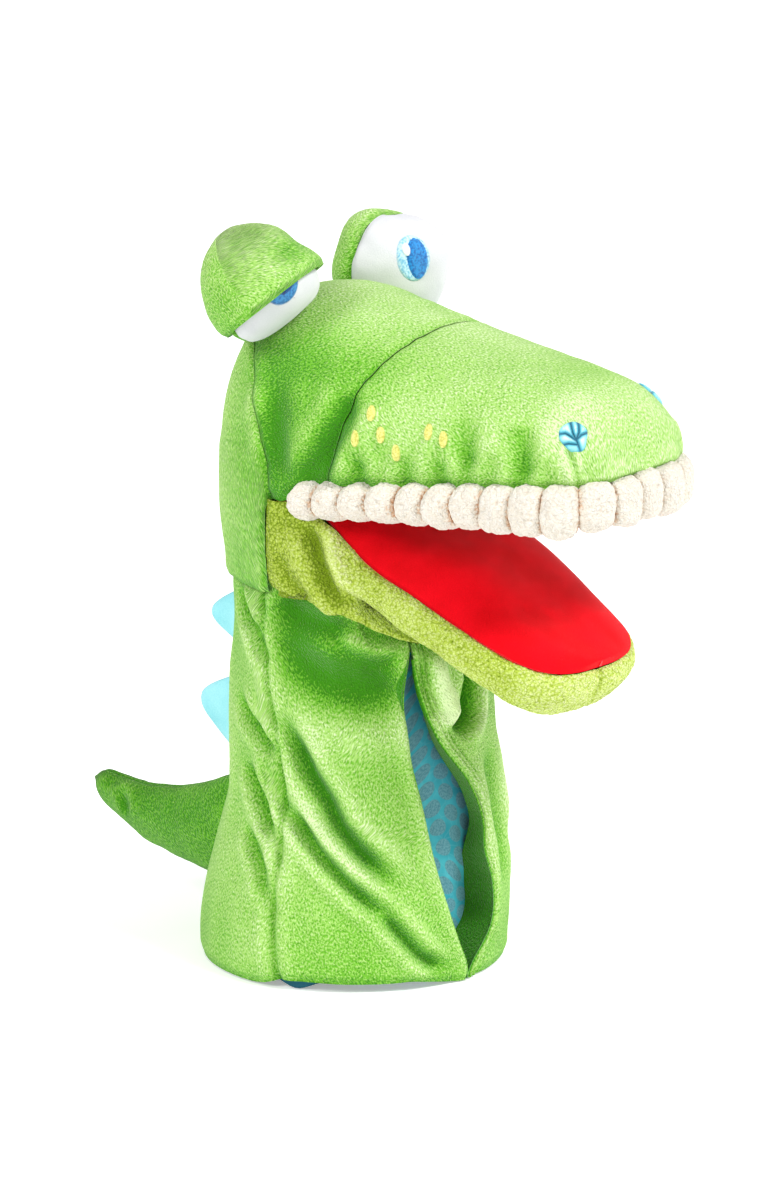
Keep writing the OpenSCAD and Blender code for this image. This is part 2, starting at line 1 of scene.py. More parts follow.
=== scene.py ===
import math

import bpy
import numpy as np
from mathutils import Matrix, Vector
from mathutils.bvhtree import BVHTree


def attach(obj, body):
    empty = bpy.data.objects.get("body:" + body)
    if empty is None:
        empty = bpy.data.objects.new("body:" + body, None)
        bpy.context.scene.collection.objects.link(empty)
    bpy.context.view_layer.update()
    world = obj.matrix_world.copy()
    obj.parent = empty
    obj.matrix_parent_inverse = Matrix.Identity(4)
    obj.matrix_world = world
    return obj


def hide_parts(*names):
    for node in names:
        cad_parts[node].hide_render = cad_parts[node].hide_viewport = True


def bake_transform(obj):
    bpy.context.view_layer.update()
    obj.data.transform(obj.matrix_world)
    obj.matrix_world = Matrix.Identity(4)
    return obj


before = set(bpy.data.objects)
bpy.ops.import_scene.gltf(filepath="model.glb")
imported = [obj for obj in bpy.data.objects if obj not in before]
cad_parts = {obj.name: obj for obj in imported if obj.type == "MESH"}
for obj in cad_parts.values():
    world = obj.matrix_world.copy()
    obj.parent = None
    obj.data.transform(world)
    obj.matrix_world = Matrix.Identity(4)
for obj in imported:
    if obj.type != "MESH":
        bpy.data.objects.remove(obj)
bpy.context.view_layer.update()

# The looks of the crocodile hand puppet. Shapes are worked out in millimetres, in the frame of the CAD model, and
# become metres when their mesh is made. Azimuths are in degrees about Z: 0 is the front (-Y), -90 the right side
# (-X), 180 the back.
MM = 0.001


# ---- numbers along curves ----

def through(knots, values, at):
    """Smooth curve through values at rising knots, read at the places given."""
    knots = np.asarray(knots, float)
    values = np.asarray(values, float)
    at = np.clip(np.asarray(at, float), knots[0], knots[-1])
    slopes = np.gradient(values, knots, axis=0)
    i = np.clip(np.searchsorted(knots, at, side="right") - 1, 0, len(knots) - 2)
    h = knots[i + 1] - knots[i]
    t = (at - knots[i]) / h
    spare = (1,) * (values.ndim - 1)
    h = h.reshape(h.shape + spare)
    t = t.reshape(t.shape + spare)
    start = (1 + 2 * t) * (1 - t) ** 2
    end = t * t * (3 - 2 * t)
    return (start * values[i] + end * values[i + 1]
            + h * (t * (1 - t) ** 2 * slopes[i] - t * t * (1 - t) * slopes[i + 1]))


def smooth(low, high, x):
    t = np.clip((np.asarray(x, float) - low) / (high - low), 0, 1)
    return t * t * (3 - 2 * t)


def mix(a, b, t):
    return a + (b - a) * t


def signed_power(x, e):
    return np.sign(x) * np.abs(x) ** e


def spread(n, low=0.0, high=1.0):
    return np.linspace(low, high, n)


def crossed(by_row, by_column):
    """Two grids: of the rows' values, and of the columns' values."""
    return np.meshgrid(by_row, by_column, indexing="ij")


def turns(n):
    """n angles around a circle, in radians."""
    return spread(n, 0, 2 * math.pi * (1 - 1 / n))


def bell(x, width):
    """1 at zero, falling off over the width on either side."""
    return np.exp(-(x / width) ** 2)


# ---- noise ----

def hashed(cell, seed):
    """Even random numbers from 0 to 1, one for each whole-numbered cell."""
    n = cell[..., 0] * 73856093 ^ cell[..., 1] * 19349663 ^ cell[..., 2] * 83492791 ^ seed * 40503
    n = (n ^ (n >> 13)) * 1274126177 & 0xFFFFFFFF
    n = (n ^ (n >> 16)) * 668265263 & 0xFFFFFFFF
    return ((n ^ (n >> 15)) & 0xFFFF) / 65535.0


def waves(points, size, seed=0):
    """Smooth noise from -1 to 1, whose bumps are about size across."""
    p = points / size
    base = np.floor(p).astype(np.int64)
    f = p - base
    f = f * f * (3 - 2 * f)
    total = np.zeros(points.shape[:-1])
    for corner in np.ndindex(2, 2, 2):
        c = np.array(corner)
        weight = np.prod(np.where(c == 1, f, 1 - f), axis=-1)
        total += weight * hashed(base + c, seed)
    return 2 * total - 1


def curls(points, size, seed=0):
    """Rounded bumps from 0 to 1, packed size apart, as on curly fleece."""
    p = points / size
    base = np.floor(p).astype(np.int64)
    near = np.full(points.shape[:-1], 9.0)
    for step in np.ndindex(3, 3, 3):
        cell = base + np.array(step) - 1
        spot = np.stack([hashed(cell, seed + k) for k in range(3)], axis=-1)
        near = np.minimum(near, np.sum((cell + spot - p) ** 2, axis=-1))
    return np.clip(1 - near, 0, 1)


# ---- meshes ----

def make_object(name, points, faces, material):
    mesh = bpy.data.meshes.new(name)
    mesh.from_pydata((np.asarray(points) * MM).tolist(), [], [list(f) for f in faces])
    mesh.update()
    mesh.shade_smooth()
    obj = bpy.data.objects.new(name, mesh)
    bpy.context.scene.collection.objects.link(obj)
    mesh.materials.append(material)
    return obj


def normals(grid, closed=False):
    """Unit normals of a grid of points, (du x dv)."""
    if closed:
        wrapped = np.concatenate([grid[:, -1:], grid, grid[:, :1]], axis=1)
        du = (wrapped[:, 2:] - wrapped[:, :-2]) / 2
    else:
        du = np.gradient(grid, axis=1)
    dv = np.gradient(grid, axis=0)
    n = np.cross(du, dv)
    return n / np.maximum(np.linalg.norm(n, axis=-1, keepdims=True), 1e-9)


def normals_toward(way, at, grid, closed=False):
    """Unit normals of a grid, on the side where the normal at one place looks the given way."""
    n = normals(grid, closed)
    return n if np.sum(n[at] * way) > 0 else -n


def turned(way, at, grid, *values, closed=False):
    """The grid and its values, with their columns turned round if the normal at one place looks away from the
    given way."""
    flip = np.sum(normals(grid, closed)[at] * way) < 0
    return [part[:, ::-1] if flip else part for part in (grid, *values)]


def grid_faces(rows, cols, closed, offset, flip):
    i, j = np.meshgrid(np.arange(rows - 1), np.arange(cols if closed else cols - 1), indexing="ij")
    k = (j + 1) % cols
    quads = np.stack([i * cols + j, i * cols + k, (i + 1) * cols + k, (i + 1) * cols + j], axis=-1)
    quads = quads.reshape(-1, 4) + offset
    return quads[:, ::-1] if flip else quads


def give(obj, name, values):
    """Stores one number per point, for the material to read."""
    layer = obj.data.attributes.new(name, "FLOAT", "POINT")
    layer.data.foreach_set("value", np.asarray(values, np.float32).ravel())


def give_uv(obj, uv):
    """UV in millimetres. A quad that closes a ring takes its far side from beyond the ring's last point."""
    layer = obj.data.uv_layers.new(name="cloth")
    loops = np.zeros(len(obj.data.loops), np.int32)
    obj.data.loops.foreach_get("vertex_index", loops)
    by_loop = np.asarray(uv, np.float32)[loops]
    quads = sum(1 for polygon in obj.data.polygons if polygon.loop_total == 4)
    u = by_loop[:4 * quads, 0].reshape(-1, 4)
    high = u.max(axis=1, keepdims=True)
    closing = (high - u.min(axis=1, keepdims=True)) > 0.5 * u.max()
    u[:] = np.where(closing & (u < 0.5 * high), high + 0.5, u)
    layer.data.foreach_set("uv", by_loop.ravel())


def ring_shape(turn, square):
    """Points round a rounded square of half size 1: square is 2 for a circle and grows toward a square."""
    c, s = np.cos(turn), np.sin(turn)
    reach = (np.abs(c) ** square + np.abs(s) ** square) ** (-1 / square)
    return c * reach, s * reach


def along_lengths(grid):
    """Distances in millimetres along a grid's rows and columns, as UV."""
    u = np.cumsum(np.linalg.norm(np.diff(grid, axis=1, prepend=grid[:, :1]), axis=-1), axis=1)
    v = np.cumsum(np.linalg.norm(np.diff(grid, axis=0, prepend=grid[:1]), axis=-1), axis=0)
    return np.stack([u, v], axis=-1)


def shell(name, grid, thickness, material, closed=False, fold=0.0, grain=0.0, inside=-0.6,
          from_middle=False):
    """A closed sheet of cloth: the outer face is the grid, whose normals point out of the puppet. fold says how
    far the cloth stands out at each point, for its colour: painted shade where it lies low and a painted
    highlight where it stands out. grain roughens the outer face, and inside darkens the inner one with painted
    shade. The UV starts at the first column, or runs both ways from the middle one."""
    rows, cols = grid.shape[:2]
    n = normals(grid, closed)
    inner = grid - n * thickness
    outer = grid + n * (grain + np.zeros((rows, cols)))[..., None]
    count = rows * cols
    faces = [grid_faces(rows, cols, closed, 0, False), grid_faces(rows, cols, closed, count, True)]
    rims = [np.arange(cols), (rows - 1) * cols + np.arange(cols)]
    if closed:
        rims = [np.append(r, r[0]) for r in rims]
    else:
        rims += [np.arange(rows) * cols, np.arange(rows) * cols + cols - 1]
    for r, flip in zip(rims, (True, False, False, True)):
        rim = np.stack([r[:-1], r[1:], r[1:] + count, r[:-1] + count], axis=-1)
        faces.append(rim if flip else rim[:, ::-1])
    points = np.concatenate([outer.reshape(-1, 3), inner.reshape(-1, 3)])
    faces = np.concatenate(faces)
    faces = faces[:, ::-1] if signed_volume(points, faces) < 0 else faces
    obj = make_object(name, points, faces, material)
    # Painted light: green pile is paler where it faces up, as if lit from above. The inner face takes inside as painted
    # shade
    painted_top_light = 0.45 * n[..., 2] if material is green_pile else 0
    value = (fold + painted_top_light + np.zeros((rows, cols))).ravel()
    give(obj, "fold", np.concatenate([value, value + inside]))
    uv = along_lengths(grid)
    if from_middle:
        uv[..., 0] += 2 * uv[..., 0].max() - uv[:, cols // 2:cols // 2 + 1, 0]
    uv = uv.reshape(-1, 2)
    give_uv(obj, np.concatenate([uv, uv]))
    return obj


def dress(piece, slot, body, *nodes, fill=None):
    """Hides the CAD nodes that a piece stands for, and gives it its body. slot and fill are not used."""
    if nodes:
        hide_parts(*nodes)
    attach(piece, body)


def signed_volume(points, faces):
    a, b, c, d = (points[faces[:, k]] for k in range(4))
    return float(np.sum(np.cross(a, b) * c) + np.sum(np.cross(a, c) * d))


def capped(name, grid, material, fold=0.0):
    """A closed solid from rings of points, with its end rings drawn to their middles."""
    rows, cols = grid.shape[:2]
    ends = np.array([grid[0].mean(0), grid[-1].mean(0)])
    points = np.concatenate([grid.reshape(-1, 3), ends])
    faces = grid_faces(rows, cols, True, 0, False)
    around = np.arange(cols)
    after = (around + 1) % cols
    first = np.stack([np.full(cols, rows * cols), after, around, around], axis=-1)
    top = (rows - 1) * cols
    last = np.stack([np.full(cols, rows * cols + 1), top + around, top + after, top + after], axis=-1)
    every = np.concatenate([faces, first, last])
    lists = [list(f) for f in faces] + [list(f[:3]) for f in first] + [list(f[:3]) for f in last]
    if signed_volume(points, every) < 0:
        lists = [f[::-1] for f in lists]
    obj = make_object(name, points, lists, material)
    fold = fold + np.zeros((rows, cols))
    give(obj, "fold", np.concatenate([fold.ravel(), [fold[0].mean(), fold[-1].mean()]]))
    uv = along_lengths(grid).reshape(-1, 2)
    give_uv(obj, np.concatenate([uv, uv[:1], uv[-1:]]))
    return obj


def tubes(name, lines, radius, material):
    """Threads: one closed tube along each line of points, thin at both ends."""
    sides = 6
    points = []
    faces = []
    around = turns(sides)
    for line in lines:
        line = np.asarray(line, float)
        t = np.gradient(line, axis=0)
        t /= np.maximum(np.linalg.norm(t, axis=1, keepdims=True), 1e-9)
        side = np.cross(t, [0.31, 0.52, 0.79])
        side /= np.linalg.norm(side, axis=1, keepdims=True)
        up = np.cross(side, t)
        s = spread(len(line), -1, 1)
        r = radius * (1 - 0.65 * np.abs(s) ** 6)
        rim = np.cos(around)[None, :, None] * side[:, None] + np.sin(around)[None, :, None] * up[:, None]
        ring = line[:, None] + r[:, None, None] * rim
        start = sum(len(p) for p in points)
        points.append(ring.reshape(-1, 3))
        faces += grid_faces(len(line), sides, True, start, True).tolist()
        faces.append([start + k for k in range(sides)])
        faces.append([start + (len(line) - 1) * sides + k for k in range(sides)][::-1])
    return make_object(name, np.concatenate(points), faces, material)


def creases(points, lines):
    """How far folds move the cloth. Each line is its points, its depth and its width; the cloth goes in along the
    line, stands out a little beside it, and the fold fades at its ends."""
    total = np.zeros(points.shape[:-1])
    for line, depth, width in lines:
        line = np.asarray(line, float)
        near = np.full(points.shape[:-1], 1e9)
        place = np.zeros(points.shape[:-1])
        pieces = len(line) - 1
        for k in range(pieces):
            step = line[k + 1] - line[k]
            t = np.clip(((points - line[k]) @ step) / (step @ step), 0, 1)
            away = np.linalg.norm(points - line[k] - t[..., None] * step, axis=-1)
            place = np.where(away < near, (k + t) / pieces, place)
            near = np.minimum(near, away)
        strength = depth * smooth(-0.02, 0.22, place) * smooth(1.02, 0.78, place)
        shoulder = bell(near - 1.9 * width, width)
        total += strength * (0.42 * shoulder - bell(near, width))
    return total


def seam_dip(distance, depth=1.1, width=1.6):
    """Cloth pulled in along a seam, by its distance from the seam in millimetres."""
    return -depth * bell(distance, width)


# ---- materials ----

def node_material(name, rough=0.8, sheen=0.0, sheen_rough=0.4, sheen_tint=(1, 1, 1), specular=0.3):
    material = bpy.data.materials.new(name)
    material.use_nodes = True
    tree = material.node_tree
    shader = tree.nodes["Principled BSDF"]
    shader.inputs["Roughness"].default_value = rough
    shader.inputs["Specular IOR Level"].default_value = specular
    shader.inputs["Sheen Weight"].default_value = sheen
    shader.inputs["Sheen Roughness"].default_value = sheen_rough
    shader.inputs["Sheen Tint"].default_value = (*sheen_tint, 1)
    return material, tree, shader


def add_node(tree, kind, inputs=None, **settings):
    """A node with its settings and inputs; an input is a value or another node's output."""
    node = tree.nodes.new(kind)
    for key, value in settings.items():
        setattr(node, key, value)
    for key, value in (inputs or {}).items():
        if isinstance(value, bpy.types.NodeSocket):
            tree.links.new(value, node.inputs[key])
        else:
            node.inputs[key].default_value = value
    return node


def math_of(tree, operation, a, b=0.0):
    node = add_node(tree, "ShaderNodeMath", operation=operation)
    for socket, value in zip(node.inputs, (a, b)):
        if isinstance(value, bpy.types.NodeSocket):
            tree.links.new(value, socket)
        else:
            socket.default_value = value
    return node.outputs[0]


def sum_of(tree, *values):
    total = values[0]
    for value in values[1:]:
        total = math_of(tree, "ADD", total, value)
    return total


def times(tree, a, b):
    return math_of(tree, "MULTIPLY", a, b)


def scaled(tree, vector, scale):
    return add_node(tree, "ShaderNodeVectorMath", {0: vector, 1: scale}, operation="MULTIPLY").outputs[0]


def object_spot(tree, size_mm):
    """Places in the frame of the object, in steps of size_mm."""
    where = add_node(tree, "ShaderNodeTexCoord").outputs["Object"]
    return scaled(tree, where, (1 / (size_mm * MM),) * 3)


def noise_of(tree, size_mm, detail=2.0):
    """Noise whose bumps are about size_mm across, in the frame of the object."""
    inputs = {"Vector": object_spot(tree, size_mm), "Scale": 1.0, "Detail": detail, "Roughness": 0.5}
    return add_node(tree, "ShaderNodeTexNoise", inputs).outputs["Fac"]


def ramp_of(tree, factor, stops):
    ramp = add_node(tree, "ShaderNodeValToRGB", {"Fac": factor})
    ramp.color_ramp.interpolation = "EASE"
    while len(ramp.color_ramp.elements) < len(stops):
        ramp.color_ramp.elements.new(0.5)
    for element, (place, colour) in zip(ramp.color_ramp.elements, stops):
        element.position = place
        element.color = (*colour, 1)
    return ramp.outputs["Color"]


def bump_of(tree, shader, height, distance_mm):
    bump = add_node(tree, "ShaderNodeBump", {"Height": height, "Strength": 1.0, "Distance": distance_mm * MM})
    tree.links.new(bump.outputs["Normal"], shader.inputs["Normal"])


def fold_value(tree):
    return add_node(tree, "ShaderNodeAttribute", attribute_name="fold").outputs["Fac"]


def cloth_uv(tree):
    return add_node(tree, "ShaderNodeUVMap", uv_map="cloth").outputs["UV"]


def cloth_noise(tree, across_mm, along_mm, detail=2.0):
    """Noise that runs with the cloth: across_mm wide and along_mm long, on the cloth's own UV, in millimetres."""
    spot = scaled(tree, cloth_uv(tree), (1 / across_mm, 1 / along_mm, 1))
    inputs = {"Vector": spot, "Scale": 1.0, "Detail": detail, "Roughness": 0.6}
    return add_node(tree, "ShaderNodeTexNoise", inputs).outputs["Fac"]


def colour_from(tree, shader, factor, stops):
    tree.links.new(ramp_of(tree, factor, stops), shader.inputs["Base Color"])


def pile_cloth(name, stops, tint):
    """Short-pile cloth: painted shade in its folds, painted highlight where it stands out, a fine brushed grain."""
    material, tree, shader = node_material(name, rough=0.85, sheen=0.22, sheen_rough=0.5, sheen_tint=tint,
                                           specular=0.12)
    grain = cloth_noise(tree, 0.72, 1.1, detail=1.0)
    blotch = noise_of(tree, 26.0)
    factor = sum_of(tree, times(tree, fold_value(tree), 0.40), times(tree, grain, 1.35), times(tree, blotch, 0.16),
                    -0.33)
    colour_from(tree, shader, factor, stops)
    bump_of(tree, shader, grain, 1.2)
    return material


def nubby_cloth(name, stops, bump_mm, tint, fold_gain, sheen, speckle):
    """Curly fleece: small round tufts, with painted shade between them and in its folds."""
    material, tree, shader = node_material(name, rough=0.9, sheen=sheen, sheen_tint=tint, specular=0.1)
    spot = object_spot(tree, 1.0)
    warp = add_node(tree, "ShaderNodeTexNoise", {"Vector": spot, "Scale": 0.8, "Detail": 1.0}).outputs["Color"]
    bent = add_node(tree, "ShaderNodeVectorMath", {0: spot, 1: warp}, operation="ADD").outputs[0]
    cells = add_node(tree, "ShaderNodeTexVoronoi", {"Vector": bent, "Scale": 1.0})
    tuft = math_of(tree, "SUBTRACT", 1.0, cells.outputs["Distance"])
    factor = sum_of(tree, times(tree, fold_value(tree), fold_gain), times(tree, tuft, speckle),
                    times(tree, noise_of(tree, 9.0), 0.22), 0.42 - 0.6 * speckle)
    colour_from(tree, shader, factor, stops)
    bump_of(tree, shader, tuft, bump_mm)
    return material


def thread_cloth(name, dark, light):
    """Shiny embroidery thread, each stitch a little different."""
    material, tree, shader = node_material(name, rough=0.42, sheen=0.3, specular=0.5)
    colour_from(tree, shader, noise_of(tree, 0.9, detail=1.0), [(0.3, dark), (0.65, light)])
    bump_of(tree, shader, noise_of(tree, 0.25, detail=1.0), 0.06)
    return material


def petal_cloth(name, stops):
    """Satin stitches, with painted shade where one petal meets the next and painted highlight on each crest."""
    material, tree, shader = node_material(name, rough=0.4, sheen=0.3, specular=0.5)
    strand = cloth_noise(tree, 0.35, 2.4, detail=1.0)
    colour_from(tree, shader, sum_of(tree, times(tree, strand, 0.45), fold_value(tree)), stops)
    bump_of(tree, shader, strand, 0.15)
    return material


def smooth_cloth(name, dark, light, thread_mm=0.5, sheen=0.35, spec=0.2):
    """Close-woven or brushed cloth with a fine even grain, and painted shade where its folds lie low."""
    material, tree, shader = node_material(name, rough=0.75, sheen=sheen, specular=spec)
    grain = noise_of(tree, thread_mm)
    factor = sum_of(tree, times(tree, fold_value(tree), 0.25), times(tree, grain, 0.35),
                    times(tree, noise_of(tree, 14.0), 0.6))
    colour_from(tree, shader, factor, [(0.2, dark), (0.75, light)])
    bump_of(tree, shader, grain, 0.12)
    return material


def disc_distance(tree, pitch):
    """How far a place on the cloth is from the middle of the nearest disc, in shares of the pitch."""
    row_step = pitch * math.sqrt(3) / 2
    parts = add_node(tree, "ShaderNodeSeparateXYZ", {0: cloth_uv(tree)})
    v = math_of(tree, "DIVIDE", parts.outputs["Y"], row_step)
    # Every other row is shifted by half a disc
    shift = times(tree, math_of(tree, "FLOORED_MODULO", math_of(tree, "FLOOR", v), 2.0), 0.5)
    u = sum_of(tree, math_of(tree, "DIVIDE", parts.outputs["X"], pitch * 1.15), shift)
    du = sum_of(tree, math_of(tree, "FRACT", u), -0.5)
    dv = times(tree, sum_of(tree, math_of(tree, "FRACT", v), -0.5), row_step / pitch)
    return math_of(tree, "POWER", sum_of(tree, times(tree, du, du), times(tree, dv, dv)), 0.5)


def printed_cloth(name):
    """Blue cloth printed with grey-blue discs in staggered rows, with pale crackle lines between them."""
    material, tree, shader = node_material(name, rough=0.7, sheen=0.2, specular=0.2)
    base = ramp_of(tree, noise_of(tree, 12.0, detail=3.0),
                   [(0.3, (0.035, 0.36, 0.47)), (0.7, (0.085, 0.56, 0.67))])
    disc = ramp_of(tree, cloth_noise(tree, 0.8, 0.8), [(0.35, (0.095, 0.29, 0.37)), (0.65, (0.17, 0.42, 0.50))])
    net = scaled(tree, cloth_uv(tree), (1 / 5.5,) * 3)
    lines = add_node(tree, "ShaderNodeTexVoronoi", {"Vector": net, "Scale": 1.0}, feature="DISTANCE_TO_EDGE")
    crackle = ramp_of(tree, lines.outputs["Distance"], [(0.0, (1, 1, 1)), (0.06, (0, 0, 0))])
    pale = add_node(tree, "ShaderNodeMixRGB", {0: times(tree, crackle, 0.22), 1: base, 2: (0.20, 0.60, 0.68, 1)})
    inside = ramp_of(tree, disc_distance(tree, 8.6), [(0.37, (1, 1, 1)), (0.42, (0, 0, 0))])
    both = add_node(tree, "ShaderNodeMixRGB", {0: inside, 1: pale.outputs[0], 2: disc})
    tree.links.new(both.outputs[0], shader.inputs["Base Color"])
    bump_of(tree, shader, cloth_noise(tree, 0.4, 0.4), 0.08)
    return material


# Colours of a cloth, from painted shade at the bottom of its folds to painted highlight on its ridges
GREEN_STOPS = [(0.02, (0.042, 0.25, 0.002)), (0.30, (0.15, 0.45, 0.025)), (0.58, (0.36, 0.63, 0.14)),
               (0.95, (0.72, 0.88, 0.48))]
LIME_STOPS = [(0.05, (0.18, 0.28, 0.010)), (0.36, (0.40, 0.53, 0.060)), (0.62, (0.58, 0.71, 0.19)),
              (0.92, (0.78, 0.86, 0.42))]
PETAL_STOPS = [(0.10, (0.010, 0.14, 0.22)), (0.42, (0.07, 0.44, 0.56)), (0.75, (0.26, 0.68, 0.78)),
               (1.0, (0.62, 0.87, 0.92))]
TEETH_STOPS = [(0.05, (0.47, 0.20, 0.08)), (0.30, (0.66, 0.48, 0.34)), (0.50, (0.73, 0.67, 0.57)),
               (0.88, (0.79, 0.75, 0.68))]

green_pile = pile_cloth("green_pile", GREEN_STOPS, (0.93, 1.0, 0.78))
lime_pile = nubby_cloth("lime_pile", LIME_STOPS, 0.9, (1.0, 1.0, 0.6), fold_gain=0.32, sheen=0.25, speckle=0.75)
fleece = nubby_cloth("teeth_fleece", TEETH_STOPS, 0.7, (1, 0.95, 0.9), fold_gain=0.5, sheen=0.15, speckle=0.48)
red_cloth = smooth_cloth("mouth_red", (0.60, 0.001, 0.004), (0.82, 0.002, 0.010), sheen=0.10, spec=0.05)
white_cloth = smooth_cloth("eye_white", (0.58, 0.59, 0.62), (0.70, 0.70, 0.72))
spike_cloth = smooth_cloth("spike_blue", (0.22, 0.62, 0.70), (0.38, 0.77, 0.83), thread_mm=0.6)
bag_cloth = printed_cloth("bag_print")
# The lining's blue is darkened with painted shade
lining_cloth = smooth_cloth("dark_lining", (0.004, 0.05, 0.09), (0.015, 0.12, 0.18), spec=0.2)
pocket_cloth = smooth_cloth("pocket_lining", (0.45, 0.55, 0.32), (0.62, 0.70, 0.48))
foam_sheet = smooth_cloth("foam_sheet", (0.60, 0.60, 0.55), (0.74, 0.74, 0.70), thread_mm=1.2)
nostril_thread = petal_cloth("nostril_thread", PETAL_STOPS)
freckle_thread = thread_cloth("freckle_thread", (0.55, 0.52, 0.08), (0.82, 0.80, 0.24))
iris_thread = thread_cloth("iris_thread", (0.004, 0.12, 0.42), (0.010, 0.28, 0.68))
navy_thread = thread_cloth("iris_navy_thread", (0.002, 0.03, 0.16), (0.006, 0.10, 0.36))
sky_thread = thread_cloth("iris_sky_thread", (0.012, 0.12, 0.36), (0.05, 0.28, 0.58))
pale_thread = thread_cloth("iris_pale_thread", (0.22, 0.55, 0.75), (0.60, 0.82, 0.90))
white_thread = thread_cloth("white_thread", (0.75, 0.80, 0.82), (0.90, 0.92, 0.92))


# ---- sleeve ----

CLOTH = 2.2
BACK_R = ([0, 12, 30, 48, 62, 99, 130, 165], [59.8, 60.3, 59.0, 55.8, 52.8, 50.2, 48.0, 45.8])
FRONT_R = ([0, 38, 60, 76, 99, 130, 165], [59.0, 56.4, 52.6, 51.4, 50.3, 48.2, 45.6])
LEAN = 5.0


def rim_height(az):
    """Seam between the sleeve and the head: level behind and at the sides, lower under the jaw."""
    return 131 + 22 * smooth(10, 63, np.abs(az))


def sleeve_point(az, z, out=0.0):
    a = np.radians(az)
    toward_left = (1 + np.cos(a - math.radians(40))) / 2
    r = mix(through(*BACK_R, z), through(*FRONT_R, z), toward_left) + out
    lean = -LEAN * np.sin(math.pi * np.clip(z / 150, 0, 1))
    return np.stack([r * np.sin(a), lean - r * np.cos(a), z + 0 * a], axis=-1)


RIGHT_SEAM = ([0, 5, 27, 54, 80, 108, 147, 170], [-79, -80, -84, -85, -87, -93, -98, -99])
NEAR_EDGE = ([0, 6, 17, 44, 72, 93, 114, 132, 170], [-3, -4, -9, -19, -25, -30, -31, -26, -25.5])
FAR_EDGE = ([0, 4, 20, 36, 50, 59, 77, 96, 116, 132, 170], [-3, -2, 11, 12, 8.5, 9.5, 1, -15, -23, -25, -25])
# Folds of the sleeve, as (azimuth, height) along each, then its depth and its width
SLEEVE_FOLDS = [
    # The long soft folds that run down and forward over the right front panel
    ([(-90, 108), (-80, 95), (-74, 84), (-66, 74), (-60, 64), (-52, 56), (-45, 50), (-34, 38)], 5.6, 3.9),
    ([(-88, 74), (-76, 63), (-67, 54), (-58, 46), (-49, 38), (-36, 27)], 4.4, 3.2),
    ([(-42, 32), (-33, 22), (-26, 14), (-14, 5)], 4.0, 3.0),
    # The hollow under the jaw, with soft ridges that cross it
    ([(-90, 154), (-83, 139), (-74, 127), (-62, 120), (-50, 118), (-38, 120), (-28, 126)], 4.6, 10.5),
    ([(-90, 150), (-78, 146), (-64, 143), (-50, 138)], 4.5, 5.5),
    ([(-58, 139), (-50, 135), (-42, 132), (-28, 133)], -1.9, 2.6),
    # The right back panel: folds fall forward into the side seam
    ([(-122, 150), (-112, 140), (-103, 135), (-95, 122)], 3.8, 3.0),
    ([(-120, 108), (-108, 99), (-100, 95), (-90, 88)], 3.6, 3.2),
    ([(-112, 84), (-104, 74), (-97, 67), (-88, 55)], 3.8, 3.2),
    ([(-106, 60), (-98, 51), (-92, 44), (-87, 30)], 3.0, 3.2),
    ([(-158, 120), (-146, 92), (-138, 60)], 2.4, 6.5),
    # The left front panel: a pit under the jaw, a pale ridge and a long fold beside the slit
    ([(8, 130), (7, 116), (3, 105), (-6, 95)], 7.0, 4.2),
    ([(-13, 130), (-12, 116), (-10, 107), (-14, 99)], -4.0, 3.4),
    ([(14, 90), (24, 72), (29, 50), (27, 28)], 2.6, 6.0),
    ([(90, 104), (72, 86), (55, 64), (44, 40)], 4.2, 5.4),
    ([(86, 66), (72, 48), (62, 24)], 3.2, 4.6),
    ([(88, 138), (66, 128), (40, 126)], 3.2, 5.0),
    ([(134, 140), (120, 120), (108, 96)], 3.4, 4.0),
    ([(122, 92), (108, 74), (99, 50)], 3.2, 4.6),
    ([(154, 112), (144, 84), (138, 50)], 2.4, 6.5),
]


def edge(table):
    return lambda z: through(*table, z)


def mirrored_seam(z):
    return -through(*RIGHT_SEAM, z)


def hem_height(az):
    """The hem waves a little. It is lifted along the right front, where the lining shows."""
    lifted = 3.6 * smooth(-92, -74, az) * smooth(-6, -30, az)
    return lifted + 0.4 + 0.4 * np.sin(np.radians(3 * az + 40))


def edge_roll(away, sewn_lines):
    """The turned-in edge of the slit: a thick roll, on the left with two sewn lines along it."""
    roll = 1.5 * smooth(7.5, 1.0, away) - 1.3 * bell(away, 0.9)
    for line in sewn_lines:
        roll -= 0.9 * bell(away - line, 0.7)
    return roll


